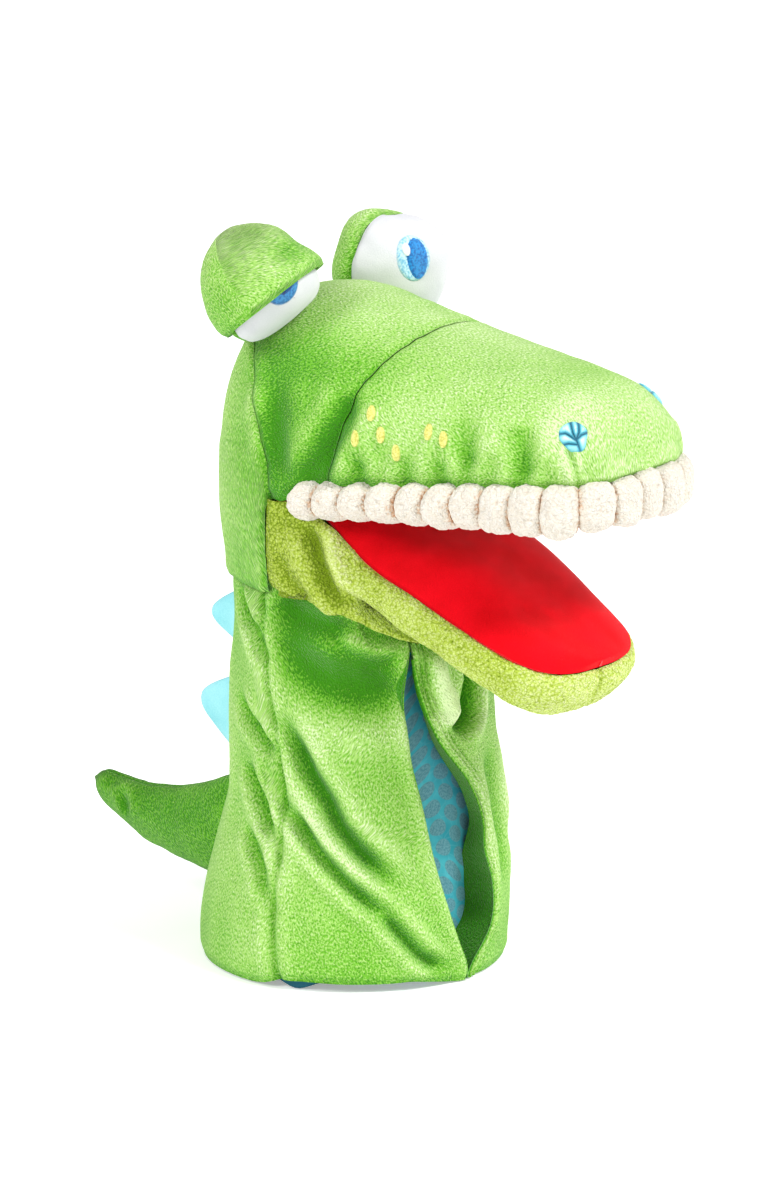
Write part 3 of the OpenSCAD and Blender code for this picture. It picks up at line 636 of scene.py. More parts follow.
def sleeve_panel(name, from_az, to_az, seams, tuck):
    """One panel of the sleeve. seams says which of its side edges are sewn to a neighbour, and tuck how far its cloth
    goes on under the head, past the seam."""
    rows = 150
    cols = 104
    # Points lie closer together beside the slit, where the topstitching is
    across = spread(cols) ** 1.5 if not seams[0] else 1 - (1 - spread(cols)) ** (1.0 if seams[1] else 1.5)
    v, u = crossed(spread(rows), across)
    guess = mix(2.0, 150.0, v)
    az = mix(from_az(guess), to_az(guess), u)
    z = mix(hem_height(az), rim_height(az) + tuck, v)
    az = mix(from_az(z), to_az(z), u)
    base = sleeve_point(az, z)
    lines = [(sleeve_point(*np.array(path, float).T), depth, width) for path, depth, width in SLEEVE_FOLDS]
    fold = creases(base, lines)
    fold += 0.9 * waves(base * [1, 1, 0.5], 24, 3) + 0.45 * waves(base * [1, 1, 0.6], 9, 5)
    settle = smooth(0, 10, z) * smooth(0, 14, rim_height(az) + 6 - z)
    fold *= 0.25 + 0.75 * settle
    span = np.abs(to_az(z) - from_az(z)) * math.pi / 180 * 52
    for at_end, sewn in zip((0, 1), seams):
        away = np.abs(u - at_end) * span
        pucker = 0.5 + 0.5 * waves(base, 5, 11)
        dip = seam_dip(away, 1.9, 1.2) * (0.7 + 0.6 * pucker) + 0.9 * bell(away - 4.5, 2.6)
        fold += dip if sewn else edge_roll(away, (2.7, 5.4) if at_end == 0 else ())
    fold -= 1.8 * bell(z - rim_height(az), 3.0)
    # The hem is turned in: the cloth rounds over at the edge
    fold -= 1.4 * bell(z - hem_height(az), 2.2)
    middle = (rows // 2, cols // 2)
    grid = base + normals_toward(base[middle] * [1, 1, 0], middle, base) * fold[..., None]
    # Painted shade in the hollow under the jaw and in a pit beside the slit's left edge; painted light on the ridge
    # beside that edge and lower down on the left front panel. The inner face gets strong painted shade
    shade = 0.9 * spot_at(az, z, (-64, 27), (137, 19)) + 0.5 * spot_at(az, z, (5, 5), (112, 14))
    shade = shade - 0.7 * spot_at(az, z, (-12, 6), (117, 14)) - 0.45 * spot_at(az, z, (24, 20), (66, 34))
    return shell(name, outward(grid), CLOTH, green_pile, fold=fold / 4 - shade, grain=0.12 * curls(base, 1.6, 2),
                 inside=-2)


def spot_at(az, z, turn, height):
    """1 at a middle and falling off around it; turn and height each hold the middle and the reach."""
    return bell(az - turn[0], turn[1]) * bell(z - height[0], height[1])


def outward(grid):
    """Turns a grid over, if its normals point at the Z axis, which it goes around."""
    middle = (grid.shape[0] // 2, grid.shape[1] // 2)
    return turned(grid[middle] * [1, 1, 0], middle, grid)[0]


def across_neck(piece):
    """Bakes a sleeve piece's transform into its mesh."""
    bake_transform(piece)


def declare_panel(piece):
    """Reads a sleeve panel's face areas and points, and does nothing with them."""
    count = len(piece.data.polygons)
    areas = np.zeros(count)
    piece.data.polygons.foreach_get("area", areas)
    co = np.zeros(len(piece.data.vertices) * 3)
    piece.data.vertices.foreach_get("co", co)


def back_seam(side):
    return lambda z: side * 180 + 0 * z


def build_sleeve():
    panels = {
        "right_front_sleeve": (edge(RIGHT_SEAM), edge(NEAR_EDGE), (True, False), ["right_front_panel"]),
        "left_front_sleeve": (edge(FAR_EDGE), mirrored_seam, (False, True), ["left_front_panel"]),
        "right_back_sleeve": (back_seam(-1), edge(RIGHT_SEAM), (True, True), ["right_back_panel", "neck_collar"]),
        "left_back_sleeve": (mirrored_seam, back_seam(1), (True, True), ["left_back_panel"]),
    }
    tuck = 6.0
    for name, (start, end, seams, nodes) in panels.items():
        piece = sleeve_panel(name, start, end, seams, tuck)
        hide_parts(*nodes)
        across_neck(piece)
        declare_panel(piece)


def build_facing(name, table, side, depth, node):
    """The cloth turned in behind an edge of the slit: it goes straight back into the sleeve."""
    rows = 110
    cols = 20
    z, inward = crossed(spread(rows, 1.5, 128), spread(cols))
    az = through(*table, z) + side * (0.1 + 4.0 * inward)
    slack = 1.6 * inward * waves(sleeve_point(az, z), 17, 15)
    deep = depth * (1 + 1.6 * smooth(64, 30, z))
    grid = sleeve_point(az, z, 0.5 - deep * inward + slack)
    grid[..., 0] += side * 2.2 * inward * np.sin(z / 19)
    # Painted shade: darker as the cloth goes into the sleeve, and darker still on its inner face
    piece = shell(name, grid, 1.2, green_pile, fold=0.1 - 2.2 * smooth(0, 0.5, inward), inside=-2)
    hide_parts(node)
    across_neck(piece)


def build_lining_band():
    """Cloth inside the hem, which shows where the hem lifts; its blue is darkened with painted shade."""
    rows = 14
    cols = 160
    az = np.ones(rows)[:, None] * spread(cols, 14, 352)
    low = 4.4 - 4.1 * bell(az - 287, 8)
    z = mix(low, 14, spread(rows)[:, None])
    fold = 0.5 * np.sin(np.radians(az * 9)) * smooth(14, 0, z)
    grid = sleeve_point(az, z, -CLOTH - 1.5)
    piece = shell("hem_lining", outward(grid), 1.0, lining_cloth, fold=fold)
    dress(piece, "printed_cloth", "sleeve", "hem_band")


def build_bag():
    """The stomach bag hangs behind the slit: slack printed cloth with long soft folds, open at the top."""
    rows = 110
    cols = 120
    heights = [3, 8, 35, 75, 106, 127]
    z, turn = crossed(spread(rows, heights[0], heights[-1]), turns(cols))
    half_x = through(heights, [24, 29, 31, 29, 25, 21.5], z)
    half_y = through(heights, [6, 10.5, 14.5, 13.5, 11, 8], z)
    mid_x = through(heights, [-5, -4.5, -4, -3, -3, -3], z)
    mid_y = -30
    ring_x, ring_y = ring_shape(turn, 2.3)
    x = mid_x + half_x * ring_x
    y = half_y * ring_y
    # The bag leans its right side forward; its section is skewed a little, not only turned
    swing = math.radians(10)
    x, y = x * math.cos(swing) - y * math.sin(swing), y * math.cos(swing) - x * math.sin(swing) + mid_y
    base = np.stack([x, y, z], axis=-1)
    fold = 1.2 * waves(base * [1, 1, 0.25], 13, 21) + 0.6 * waves(base * [1, 1, 0.4], 6, 22)
    fold *= smooth(0, 20, z)
    forward = np.array([0, -1, 0])
    front = (rows // 2, 3 * cols // 4)
    grid = base + normals_toward(forward, front, base, True) * fold[..., None]
    grid = turned(forward, front, grid, closed=True)[0]
    bottom = grid[0].mean(0)
    closing = [mix(grid[0], bottom, t) - np.array([0, 0, 1.6 * t]) for t in (0.98, 0.75, 0.45, 0.2)]
    grid = np.concatenate([np.array(closing), grid])
    fold = np.concatenate([np.tile(fold[:1], (4, 1)), fold])
    piece = shell("stomach_bag_cloth", grid, 0.9, bag_cloth, closed=True, fold=fold / 3)
    dress(piece, "printed_cloth", "sleeve", "stomach_bag")


def build_spike(name, root_low, root_high, tip_y, tip_z, node):
    """A padded blue triangle with a rounded tip, sewn into the back seam."""
    rows = 40
    cols = 36
    s = spread(rows)
    root_z = (root_low + root_high) / 2
    wall = sleeve_point(180.0, np.array(root_z))[1] - 3
    half = (root_high - root_low) / 2 * np.sqrt(np.clip(1 - s ** 1.25, 0, 1)) * (1 - 0.36 * s)
    half[-1] = 0.3
    thick = mix(3.2, 2.2, s) * np.sqrt(np.clip(1 - s ** 10, 0.02, 1))
    ring_z, ring_x = ring_shape(turns(cols), 2.6)
    grid = np.stack([
        thick[:, None] * ring_x[None],
        (wall + (tip_y - wall) * s)[:, None] + 0 * ring_x[None],
        mix(root_z, tip_z, s)[:, None] + half[:, None] * ring_z[None],
    ], axis=-1)
    grid += 0.4 * waves(grid, 8, 31)[..., None] * np.array([1, 0, 0])
    piece = capped(name, grid, spike_cloth)
    dress(piece, "spike_cloth", "sleeve", node, fill=0.35)


def build_tail():
    """The stuffed tail, with a seam over its back and under it, sewn to the sleeve's back."""
    rows = 96
    cols = 84
    wall = float(sleeve_point(180.0, np.array(40.0))[1])
    tip = 134.5
    y = spread(rows, wall - 4, tip)
    knots = [wall - 4, 63, 75, 91, 106, 120, 128, tip]
    top = through(knots, [62, 58.3, 53.0, 48.2, 46.3, 47.2, 48.2, 46.5], y)
    low = through(knots, [14, 15.5, 17.4, 20.6, 24.6, 31.0, 35.8, 40.5], y)
    wide = through(knots, [12, 12.5, 12.2, 10.8, 9.4, 7.4, 6.2, 2.5], y)
    close = np.sqrt(np.clip(1 - smooth(tip - 7.5, tip + 0.7, y) ** 2, 0.02, 1))
    half = (top - low) / 2 * close
    mid = (top + low) / 2
    turn = turns(cols)
    base = np.stack([
        (wide * close)[:, None] * np.sin(turn)[None],
        y[:, None] + 0 * turn[None],
        mid[:, None] + half[:, None] * np.cos(turn)[None],
    ], axis=-1)
    seam = np.minimum(np.abs(np.sin(turn)) * 12, 20)[None] + 0 * y[:, None]
    fold = seam_dip(seam, 1.0, 1.5)
    fold += 0.55 * waves(base * [1, 0.6, 1], 11, 41) + 0.35 * waves(base, 5, 42)
    fold += creases(base, [([(-9, 117, 47), (-9, 112, 40), (-7, 110, 34)], 1.6, 2.2),
                           ([(9, 114, 46), (9, 110, 38)], 1.4, 2.2)])
    fold *= smooth(0, 0.12, spread(rows))[:, None] * 0.7 + 0.3
    n = normals_toward([0, 0, 1], (rows // 2, 0), base, True)
    grid = base + n * (fold + 0.1 * curls(base, 1.6, 4))[..., None]
    # Painted shade: the whole tail is a little darker
    piece = capped("tail", grid, green_pile, fold=fold / 3 - 0.65)
    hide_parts("tail_right_half", "tail_left_half", "tail_filling", "tail_root")
    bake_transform(piece)


# ---- head ----

MOUTH_Z = 195.0
MOUTH_RISE = 0.122
# Sections of the head, from the nose to the neck: y of the feet, height of the feet over the mouth seam, y and z of
# the crest, half width, roundness, lean
HEAD_ROWS = np.array([
    [-141, 1, -141, 213, 3, 2.2, 1], [-140, 0.5, -139.5, 222, 19, 2.2, 1.2], [-134, 0, -135, 233, 30, 2.3, 1.5],
    [-121, 0, -124, 241.5, 36.5, 2.4, 1.8], [-99, 0, -106, 246, 39.5, 2.4, 1.8], [-76, 0, -90, 248, 42, 2.4, 1.8],
    [-50, 0, -72, 250, 44.9, 2.4, 1.8], [-26, 0, -47, 254, 47.8, 2.4, 1.8], [-14, -3, -22, 259, 49.3, 2.4, 1.8],
    [-6, -6.5, 8, 261.5, 50, 2.4, 1.8], [0, -7, 30, 255, 50.5, 2.3, 1.6], [2, -14, 46, 228, 50.8, 2.2, 1.2],
    [2, -27, 50, 190, 50.4, 2.1, 1], [2, -43.5, 47.3, 151.5, 48.8, 2, 1],
])
SNOUT_SEAM = 7
BACK_SEAM = 10
NECK_ROW = 13


def mouth_seam(y):
    return MOUTH_Z + MOUTH_RISE * np.maximum(0, -8 - y)


def head_point(t, a):
    """A point of the head on section t, at arch angle a in degrees from -90 (right foot) over 0 (crest) to 90."""
    rows = through(np.arange(len(HEAD_ROWS)), HEAD_ROWS, t)
    foot_y, foot_dz, crest_y, crest_z, half, round_, lean = np.moveaxis(rows, -1, 0)
    foot_z = mouth_seam(foot_y) + foot_dz
    e = 2 / round_
    turn = np.radians(a)
    up = np.clip(np.abs(np.cos(turn)), 0, 1) ** e
    return np.stack([
        signed_power(np.sin(turn), e) * half,
        foot_y + (crest_y - foot_y) * up ** lean,
        foot_z + (crest_z - foot_z) * up,
    ], axis=-1)


# Folds of the head's right side, as points along each, then its depth and its width; the left side mirrors them
RIGHT_HEAD_FOLDS = [
    # A dart under each eye, and a soft crease down each cheek to the corner of the mouth
    ([(-45, 13, 247), (-50, 12, 232), (-50.5, 10, 214)], 3.0, 2.8),
    ([(-42, -35, 234), (-47, -32, 222), (-49, -25, 208), (-50, -16, 194)], 4.2, 5.0),
    ([(-50, 2, 236), (-51, -3, 216), (-51, -5, 198)], 2.4, 6.0),
    # Darts from the nostrils down to the teeth
    ([(-30.5, -128, 226), (-30.5, -131, 218), (-29.5, -133, 210)], 2.2, 1.3),
    # Soft hollows in the snout's sides and over its teeth
    ([(-38, -116, 210), (-39, -112, 222), (-37, -107, 232)], 2.4, 6.5),
    ([(-42, -92, 212), (-41, -86, 222), (-41, -82, 232)], 1.6, 6.0),
    ([(-46, -62, 200), (-45.5, -60, 207), (-45, -58, 214)], 1.7, 3.6),
    ([(-44, -80, 202), (-43.5, -79, 208), (-43, -77, 214)], 1.7, 3.4),
    ([(-47, -44, 198), (-47, -43, 204), (-46.5, -42, 210)], 1.6, 3.2),
]
HEAD_FOLDS = [([(side * x, y, z) for x, y, z in line], depth, width)
              for line, depth, width in RIGHT_HEAD_FOLDS for side in (1, -1)]


def head_panel(name, start, end, rows, nodes, seams):
    """One panel of the head, from section start to section end. seams says how strongly each of those is sewn."""
    cols = 150
    # Points are spread evenly around the arch
    angles = spread(cols, -90, 90)
    t, a = crossed(mix(start, end, spread(rows)), angles)
    base = head_point(t, a)
    lengths = along_lengths(base)[..., 0]
    a = np.array([np.interp(spread(cols, 0, row[-1]), row, angles) for row in lengths])
    base = head_point(t, a)
    foot = np.minimum(a + 90, 90 - a) / 180 * lengths[:, -1:]
    fold = creases(base, HEAD_FOLDS)
    fold += 0.8 * waves(base, 26, 51) + 0.35 * waves(base, 8, 52)
    run = along_lengths(base)[..., 1]
    for at_end, sewn in zip((0, 1), seams):
        away = np.abs(run - at_end * run[-1])
        puckers = 0.55 * waves(base, 4.5, 53) * bell(away, 7)
        fold += seam_dip(away, 1.0, 1.6) * sewn + puckers * sewn
    # Gathers over the teeth, and the edge that rolls in where the teeth are sewn on
    gather = np.sin(base[..., 1] * 0.52) * bell(foot - 6, 7) * smooth(8.5, 6.5, t)
    fold += 0.8 * gather - 1.5 * bell(foot, 1.7)
    middle = (rows // 2, cols // 2)
    n = normals_toward([0, 1, 1], middle, base)
    grid, fold, base = turned(n[middle], middle, base + n * fold[..., None], fold, base)
    # Painted shade on the crown's flanks; painted light on the nose, on the cheeks and at the sides of the back
    # panel
    x, y, z = np.moveaxis(base, -1, 0)
    shade = 0.75 * smooth(258, 240, z) * smooth(-60, -25, y) * smooth(44, 12, y)
    shade = shade - 0.5 * smooth(-106, -132, y) - 0.35 * bell(y + 62, 22) * bell(z - 226, 12)
    shade = shade - 0.6 * (nodes[0] == "back_panel") * smooth(24, 46, np.abs(x))
    grain = 0.12 * curls(base, 1.6, 6) * smooth(-136, -120, y)
    piece = shell(name, grid, CLOTH, green_pile, fold=fold / 3.5 - shade, grain=grain, from_middle=True)
    dress(piece, "green_pile", "head", *nodes, fill=0.6)
    return piece


def build_head():
    """The three panels of the head. The snout is handed on, for its embroidery."""
    snout = head_panel("snout", 0.0, SNOUT_SEAM - 0.012, 150, ("snout_panel", "snout_filling"), (0, 1))
    head_panel("crown", SNOUT_SEAM + 0.012, BACK_SEAM - 0.01, 90, ("crown_panel",), (1, 1))
    head_panel("back_of_head", BACK_SEAM + 0.01, NECK_ROW, 110, ("back_panel",), (1, 0.8))
    return snout


# ---- jaw and throat ----

HINGE = np.array([-4.0, 184.0])
JAW_TILT = math.radians(24)


def jaw_point(x, d, h):
    """A point of the jaw: x, distance forward from the fold, and height over the jaw's plane."""
    x, d, h = np.broadcast_arrays(*(np.asarray(q, float) for q in (x, d, h)))
    y = HINGE[0] - d * math.cos(JAW_TILT) - h * math.sin(JAW_TILT)
    z = HINGE[1] - d * math.sin(JAW_TILT) + h * math.cos(JAW_TILT)
    return np.stack([x, y, z], axis=-1)


# Stations around the left half of the jaw's rim: x and distance of its outer side, the way in from there in plan,
# distance of the point under the jaw's middle, and the height of the underside
RIM_STATIONS = [
    (44.0, 40, -1, 0, 62, -18.8), (42.6, 62, -1, 0, 77, -18.8), (40.6, 84, -1, 0, 92, -18.8),
    (37.8, 102, -0.99, -0.12, 107, -19.2), (32.0, 117.5, -0.80, -0.60, 114, -19.4), (23, 125.4, -0.48, -0.88, 116, -19),
    (11, 128.8, -0.15, -0.99, 117, -18.4), (0, 129.3, 0, -1, 117.5, -18.4),
]
ROLL_IN = 3.6
PROFILE = [0, 0.09, 0.22, 0.38, 0.56, 0.78, 1.0]


def seam_station():
    """The throat cloth's back edge: down the side seam from the mouth's corner, then along the sleeve's rim."""
    side = [(50.6, 0.3, 188.5), (50.9, 0.6, 181), (50.9, 0.9, 167)]
    rim = [sleeve_point(az, np.array(float(rim_height(az))), 0.9) for az in (89.5, 62.0, 32.0, 0.0)]
    return np.array(side + [tuple(p) for p in rim])


def crease_station():
    return np.array([(43.5, -18.5, 184), (46.5, -20, 181), (47.8, -25, 169), (45.5, -32, 153), (37, -44, 143.5),
                     (20, -55, 136.5), (0, -58.5, 134)])


def rim_station(x, d, nx, nd, d_mid, under):
    low = np.array([x + 3 * nx, d + 3 * nd, -13.4 - 2.4 * smooth(95, 118, d)])
    mid = np.array([0, d_mid, under])
    flat = [
        (x + ROLL_IN * nx, d + ROLL_IN * nd, 0.6), (x + 1.2 * nx, d + 1.2 * nd, -1.0), (x, d, -6.6), tuple(low),
        (*mix(low, mid, 0.32)[:2], under + 0.9), (*mix(low, mid, 0.68)[:2], under + 0.1), tuple(mid),
    ]
    return np.array([jaw_point(*p) for p in flat])


STATIONS = np.array([seam_station(), crease_station()] + [rim_station(*s) for s in RIM_STATIONS])
STATION_RUN = np.concatenate([[0], np.cumsum(np.linalg.norm(np.diff(STATIONS[:, 2], axis=0), axis=1))])


def throat_grid(along, profile):
    """Points of the lime cloth: along is the distance from the seam on either side, as a grid row; profile goes
    from the mouth's edge to the middle of the underside."""
    by_run = through(STATION_RUN, STATIONS, along)
    return np.stack([through(PROFILE, station, profile) for station in by_run], axis=1)


def across_jaw(piece):
    """Bakes the transform of a piece of the mouth's cloth into its mesh."""
    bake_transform(piece)


def build_jaw_cover():
    """The lime cloth of the jaw and the throat, in one sheet from mouth corner to mouth corner."""
    along = spread(290, 0, STATION_RUN[-1])
    profile = spread(116)
    left = throat_grid(along, profile)
    right = left * [-1, 1, 1]
    grid = np.concatenate([left, right[:, ::-1][:, 1:]], axis=1)
    run = np.concatenate([along, along[::-1][1:]])[None] * np.ones((len(profile), 1))
    lines = []
    for side in (-1, 1):
        throat = [(side * 46, -17, 182), (side * 48, -22, 171), (side * 46.5, -27, 159), (side * 42, -35, 149)]
        lines.append((throat, 4.6, 3.6))
        lines.append(([(side * 50, -4, 170), (side * 49.5, -10, 158), (side * 47, -18, 151)], 1.4, 3.0))
    fold = creases(grid, lines)
    edge_away = (profile * 62)[:, None] * np.ones(grid.shape[1])
    fold += 0.8 * waves(grid, 14, 61) + 0.5 * waves(grid, 6, 62)
    fold *= mix(0.2, 1, smooth(0, 9, run))
    fold += seam_dip(run, 1.2, 1.8) + seam_dip(edge_away, 0.35, 1.2)
    tip_seam = np.abs(grid[..., 0]) + 40 * (run < STATION_RUN[-1] - 22)
    fold += seam_dip(tip_seam, 0.9, 1.1)
    left_side = (45, 150)
    outside = [1, 0, -0.5]
    n = normals_toward(outside, left_side, grid)
    bumps = curls(grid, 1.7, 63) + 0.5 * curls(grid, 1.1, 64)
    base = grid
    grid = grid + n * (fold + 0.5 * bumps)[..., None]
    # Painted shadow of the head behind the crease, and painted shade between the tufts; paler toward the tip
    value = fold / 3 + 0.28 * (bumps - 0.9) - 0.75 * smooth(STATION_RUN[1] * 1.25, STATION_RUN[1] * 0.6, run)
    value += 0.55 * smooth(-98, -122, grid[..., 1])
    if np.sum(normals(base)[left_side] * outside) < 0:
        grid, value = grid[:, ::-1], value[:, ::-1]
    piece = shell("jaw_cover_cloth", grid, CLOTH, lime_pile, fold=value)
    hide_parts("jaw_cover", "right_cheek_gusset", "left_cheek_gusset", "jaw_filling")
    across_jaw(piece)


# Places across the tongue and the palate, and how much the arch of each still has there
MOUTH_ACROSS = spread(90, -1, 1)
MOUTH_ARCH = 1 - np.abs(MOUTH_ACROSS[None]) ** 3.6


def build_tongue():
    """Red cloth over the tongue and up to the fold. Rows go across it, from the fold at the back to the tip."""
    rows = 150
    along = spread(rows, STATION_RUN[1] * 0.35, STATION_RUN[-1])
    by_run = through(STATION_RUN, STATIONS[:, 0], along)
    wider = mix(-1.4, 0.9, smooth(STATION_RUN[1], STATION_RUN[2], along))
    edge_line = by_run + np.stack([wider, 0 * wider, 0 * wider], axis=-1) * np.sign(by_run[:, :1])
    level = 0 * MOUTH_ACROSS[None]
    x = edge_line[:, :1] * MOUTH_ACROSS[None]
    y = edge_line[:, 1:2] + level
    z = edge_line[:, 2:3] + level
    lift = through([0, 30, 60, 84, 104, along[-1]], [0, 9, 14, 12, 7, 2.5], along)[:, None] * MOUTH_ARCH
    up = np.array([0, -math.sin(JAW_TILT), math.cos(JAW_TILT)])
    base = np.stack([x, y, z], axis=-1) + up * lift[..., None] + up * 0.5
    fold = 0.7 * waves(base, 20, 71) + 0.25 * waves(base, 7, 72)
    grid = base + up * (fold * MOUTH_ARCH)[..., None]
    grid, fold = turned([0, 0, 1], (rows // 3, len(MOUTH_ACROSS) // 2), grid, fold)
    tongue = shell("tongue_cloth", grid, 1.2, red_cloth, fold=fold / 2)
    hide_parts("tongue_lining")
    across_jaw(tongue)


def build_palate():
    """Red cloth under the upper jaw."""
    rows = 90
    y = spread(rows, 3, -137)
    wide = through([-137, -130, -110, -60, -20, 3], [22, 31, 36.5, 41, 44.5, 47], y)
    arch = through([-137, -100, -40, -6, 3], [1.0, 4, 6, 5, -3], y)
    x = wide[:, None] * MOUTH_ACROSS[None]
    z = (mouth_seam(y) - 1.2)[:, None] + arch[:, None] * MOUTH_ARCH
    z -= (smooth(-14, 3, y) * 9)[:, None]
    grid = np.stack([x, y[:, None] + 0 * x, z], axis=-1)
    grid = turned([0, 0, -1], (rows // 2, len(MOUTH_ACROSS) // 2), grid)[0]
    # Painted shade: the palate is a little darker, as it lies under the upper jaw
    palate = shell("palate_cloth", grid, 1.0, red_cloth, fold=-0.5)
    dress(palate, "mouth_cloth", "head", "palate_lining")


# ---- teeth ----

TEETH = 25
TOOTH_END_Y = -10.5
FRONT_Y = -138.5
CORNER_R = 24.0
FRONT_HALF = 36.5
CORNER_X = 46.5


def row_line(n):
    """The line that the teeth are sewn along, in plan, from the right corner of the mouth to the left."""
    side = np.stack([spread(60, -CORNER_X, -FRONT_HALF), spread(60, TOOTH_END_Y, FRONT_Y + CORNER_R)], axis=-1)
    turn = np.radians(spread(60, 0, 90))
    corner = np.stack([-FRONT_HALF + CORNER_R * (1 - np.cos(turn)),
                       FRONT_Y + CORNER_R * (1 - np.sin(turn))], axis=-1)
    front = np.stack([spread(30, -FRONT_HALF + CORNER_R, 0), np.full(30, FRONT_Y)], axis=-1)
    right = np.concatenate([side, corner[1:], front[1:]])
    line = np.concatenate([right, (right * [-1, 1])[::-1][1:]])
    run = np.concatenate([[0], np.cumsum(np.linalg.norm(np.diff(line, axis=0), axis=1))])
    at = spread(n, 0, run[-1])
    return np.stack([np.interp(at, run, line[:, k]) for k in (0, 1)], axis=-1), at


def build_teeth():
    """A row of round fleece puffs: one padded roll, pinched between each tooth and the next."""
    per_tooth = 28
    rows = TEETH * per_tooth + 1
    cols = 84
    line, run = row_line(rows)
    heading = np.gradient(line, axis=0)
    heading /= np.linalg.norm(heading, axis=1, keepdims=True)
    outside = np.stack([heading[:, 1], -heading[:, 0]], axis=-1)
    if outside[0, 0] > 0:
        outside = -outside
    place = np.arange(rows) / per_tooth
    number = np.minimum(place.astype(int), TEETH - 1)
    cell = np.stack([number, number * 0 + 7, number * 0], axis=-1).astype(np.int64)
    jitter = [hashed(cell, seed) - 0.5 for seed in (5, 6, 8)]
    within = np.clip(2 * (place - number) - 1, -1, 1)
    front = smooth(-70, -128, line[:, 1])
    puff = np.clip(1 - np.abs(within) ** mix(2.1, 3.2, front), 0, 1) ** 0.5
    tall = mix(13.6, 17.6, smooth(TOOTH_END_Y, FRONT_Y + 12, line[:, 1])) * (1 + 0.14 * jitter[0])
    deep = mix(14.5, 12.5, front) * (1 + 0.14 * jitter[1])
    size_z = tall / 2 * mix(mix(0.50, 0.62, front), 1, puff)
    size_x = deep / 2 * mix(mix(0.28, 0.32, front), 1, puff)
    end = np.minimum(np.arange(rows), np.arange(rows)[::-1]) / (0.5 * per_tooth)
    shut = np.sqrt(np.clip(1 - (1 - np.clip(end, 0, 1)) ** 2, 0.02, 1))
    turn = turns(cols)
    ring_out, ring_up = ring_shape(turn[None], mix(2.1, 3.0, front)[:, None])
    z_mid = mouth_seam(line[:, 1]) + 1.2 - tall / 2 + 0.8 * jitter[2]
    sideways = (size_x * shut)[:, None] * ring_out
    up = (size_z * shut)[:, None] * ring_up
    # Near the corners of the mouth the puffs lean back, so that each laps over the one behind it
    lean = (np.sign(place - TEETH / 2) * mix(0.42, 0.0, front))[:, None] * sideways
    grid = np.stack([
        line[:, :1] + outside[:, :1] * sideways + heading[:, :1] * lean,
        line[:, 1:] + outside[:, 1:] * sideways + heading[:, 1:] * lean,
        z_mid[:, None] + up,
    ], axis=-1)
    bumps = curls(grid, 1.6, 81) + 0.5 * curls(grid, 1.0, 82)
    n = normals_toward([*outside[rows // 4], 0], (rows // 4, 0), grid, True)
    soft = 0.7 * waves(grid, 5, 83)
    grid = grid + n * ((0.85 * bumps + soft) * mix(0.3, 1, puff)[:, None])[..., None]
    # Painted shade: peach-brown in the pinches between the puffs, and darker between the tufts
    value = mix(-1.7, 0.3, smooth(0.0, 0.85, puff))[:, None] + 0.45 * (bumps - 0.9)
    piece = capped("teeth", grid, fleece, fold=value)
    dress(piece, "teeth_fleece", "head", "teeth_row", fill=0.7)


# ---- eyes ----

def unit(v):
    v = np.asarray(v, float)
    return v / np.linalg.norm(v)


def view_axes(azimuth, elevation, roll=0.0):
    """Three directions of something that faces the given way: its right and up, rolled, and its facing."""
    a, e, r = (math.radians(q) for q in (azimuth, elevation, roll))
    facing = np.array([math.sin(a) * math.cos(e), -math.cos(a) * math.cos(e), math.sin(e)])
    right = np.array([math.cos(a), math.sin(a), 0.0])
    up = np.cross(facing, right)
    return np.stack([right * math.cos(r) + up * math.sin(r), up * math.cos(r) - right * math.sin(r), facing])


# Half sizes go along the eye's own axes: across, up, down and deep. square is how square its outline is, all round
# or only below a round top. face is the azimuth that the white front looks to.
EYES = {
    "right": {"centre": np.array([-38.3, 12.0, 265.6]), "across": 20.2, "up": 23.4, "down": 15.6, "deep": 19.5,
              "square": 3.4, "axes": view_axes(-50, 15, 38), "face": -12, "round_top": True},
    "left": {"centre": np.array([36.5, 12.0, 262.8]), "across": 22.0, "up": 19.5, "down": 21.0, "deep": 19.0,
             "square": 2.7, "axes": view_axes(-50, 15, -18), "face": -10, "round_top": False},
}
LID_CUT = -5.6


def eye_reach(eye, direction):
    """How far the eye's cloth is from its middle, in a direction."""
    x, z, y = np.moveaxis(direction @ eye["axes"].T, -1, 0)
    flat = np.abs(x / eye["across"]) ** eye["square"]
    flat += np.abs(z / np.where(z > 0, eye["up"], eye["down"])) ** eye["square"]
    squared = flat ** (2 / eye["square"])
    if eye["round_top"]:
        squared = np.where(z > 0, (x / eye["across"]) ** 2 + (z / eye["up"]) ** 2, squared)
    return 1 / np.sqrt(squared + (y / eye["deep"]) ** 2)


def around_axis(axis, polar, turn):
    """Directions by their angle from an axis and their turn about it."""
    side = unit(np.cross([0, 0, 1.0], axis))
    other = np.cross(axis, side)
    p, q = np.radians(polar), np.radians(turn)
    return (np.cos(p)[..., None] * axis + (np.sin(p) * np.cos(q))[..., None] * side
            + (np.sin(p) * np.sin(q))[..., None] * other)


def eye_cap(name, eye, low, high, material, nodes, slot, seed):
    """Half of an eye, front or rear, between two angles from the way that it faces."""
    rows = 64
    cols = 120
    # The ring starts at the bottom, where the head hides its join
    polar, turn = crossed(spread(rows, low, high), spread(cols, -90, 270 - 360 / cols))
    direction = around_axis(view_axes(eye["face"], 0)[2], polar, turn)
    base = eye["centre"] + direction * eye_reach(eye, direction)[..., None]
    seam = np.abs(polar - 90) * 0.36
    fold = seam_dip(seam, 1.2, 1.7) + 0.6 * waves(base, 10, seed)
    fold += 0.9 * waves(base, 4.5, seed + 1) * bell(seam, 5)
    grain = 0.12 * curls(base, 1.6, seed + 2) if material is green_pile else 0
    grid = base + direction * (fold + grain)[..., None]
    at = (rows // 2, 0)
    grid, fold = turned(direction[at], at, grid, fold, closed=True)
    piece = shell(name, grid, 1.2, material, closed=True, fold=fold / 3)
    dress(piece, slot, "head", *nodes, fill=0.85)
    return piece


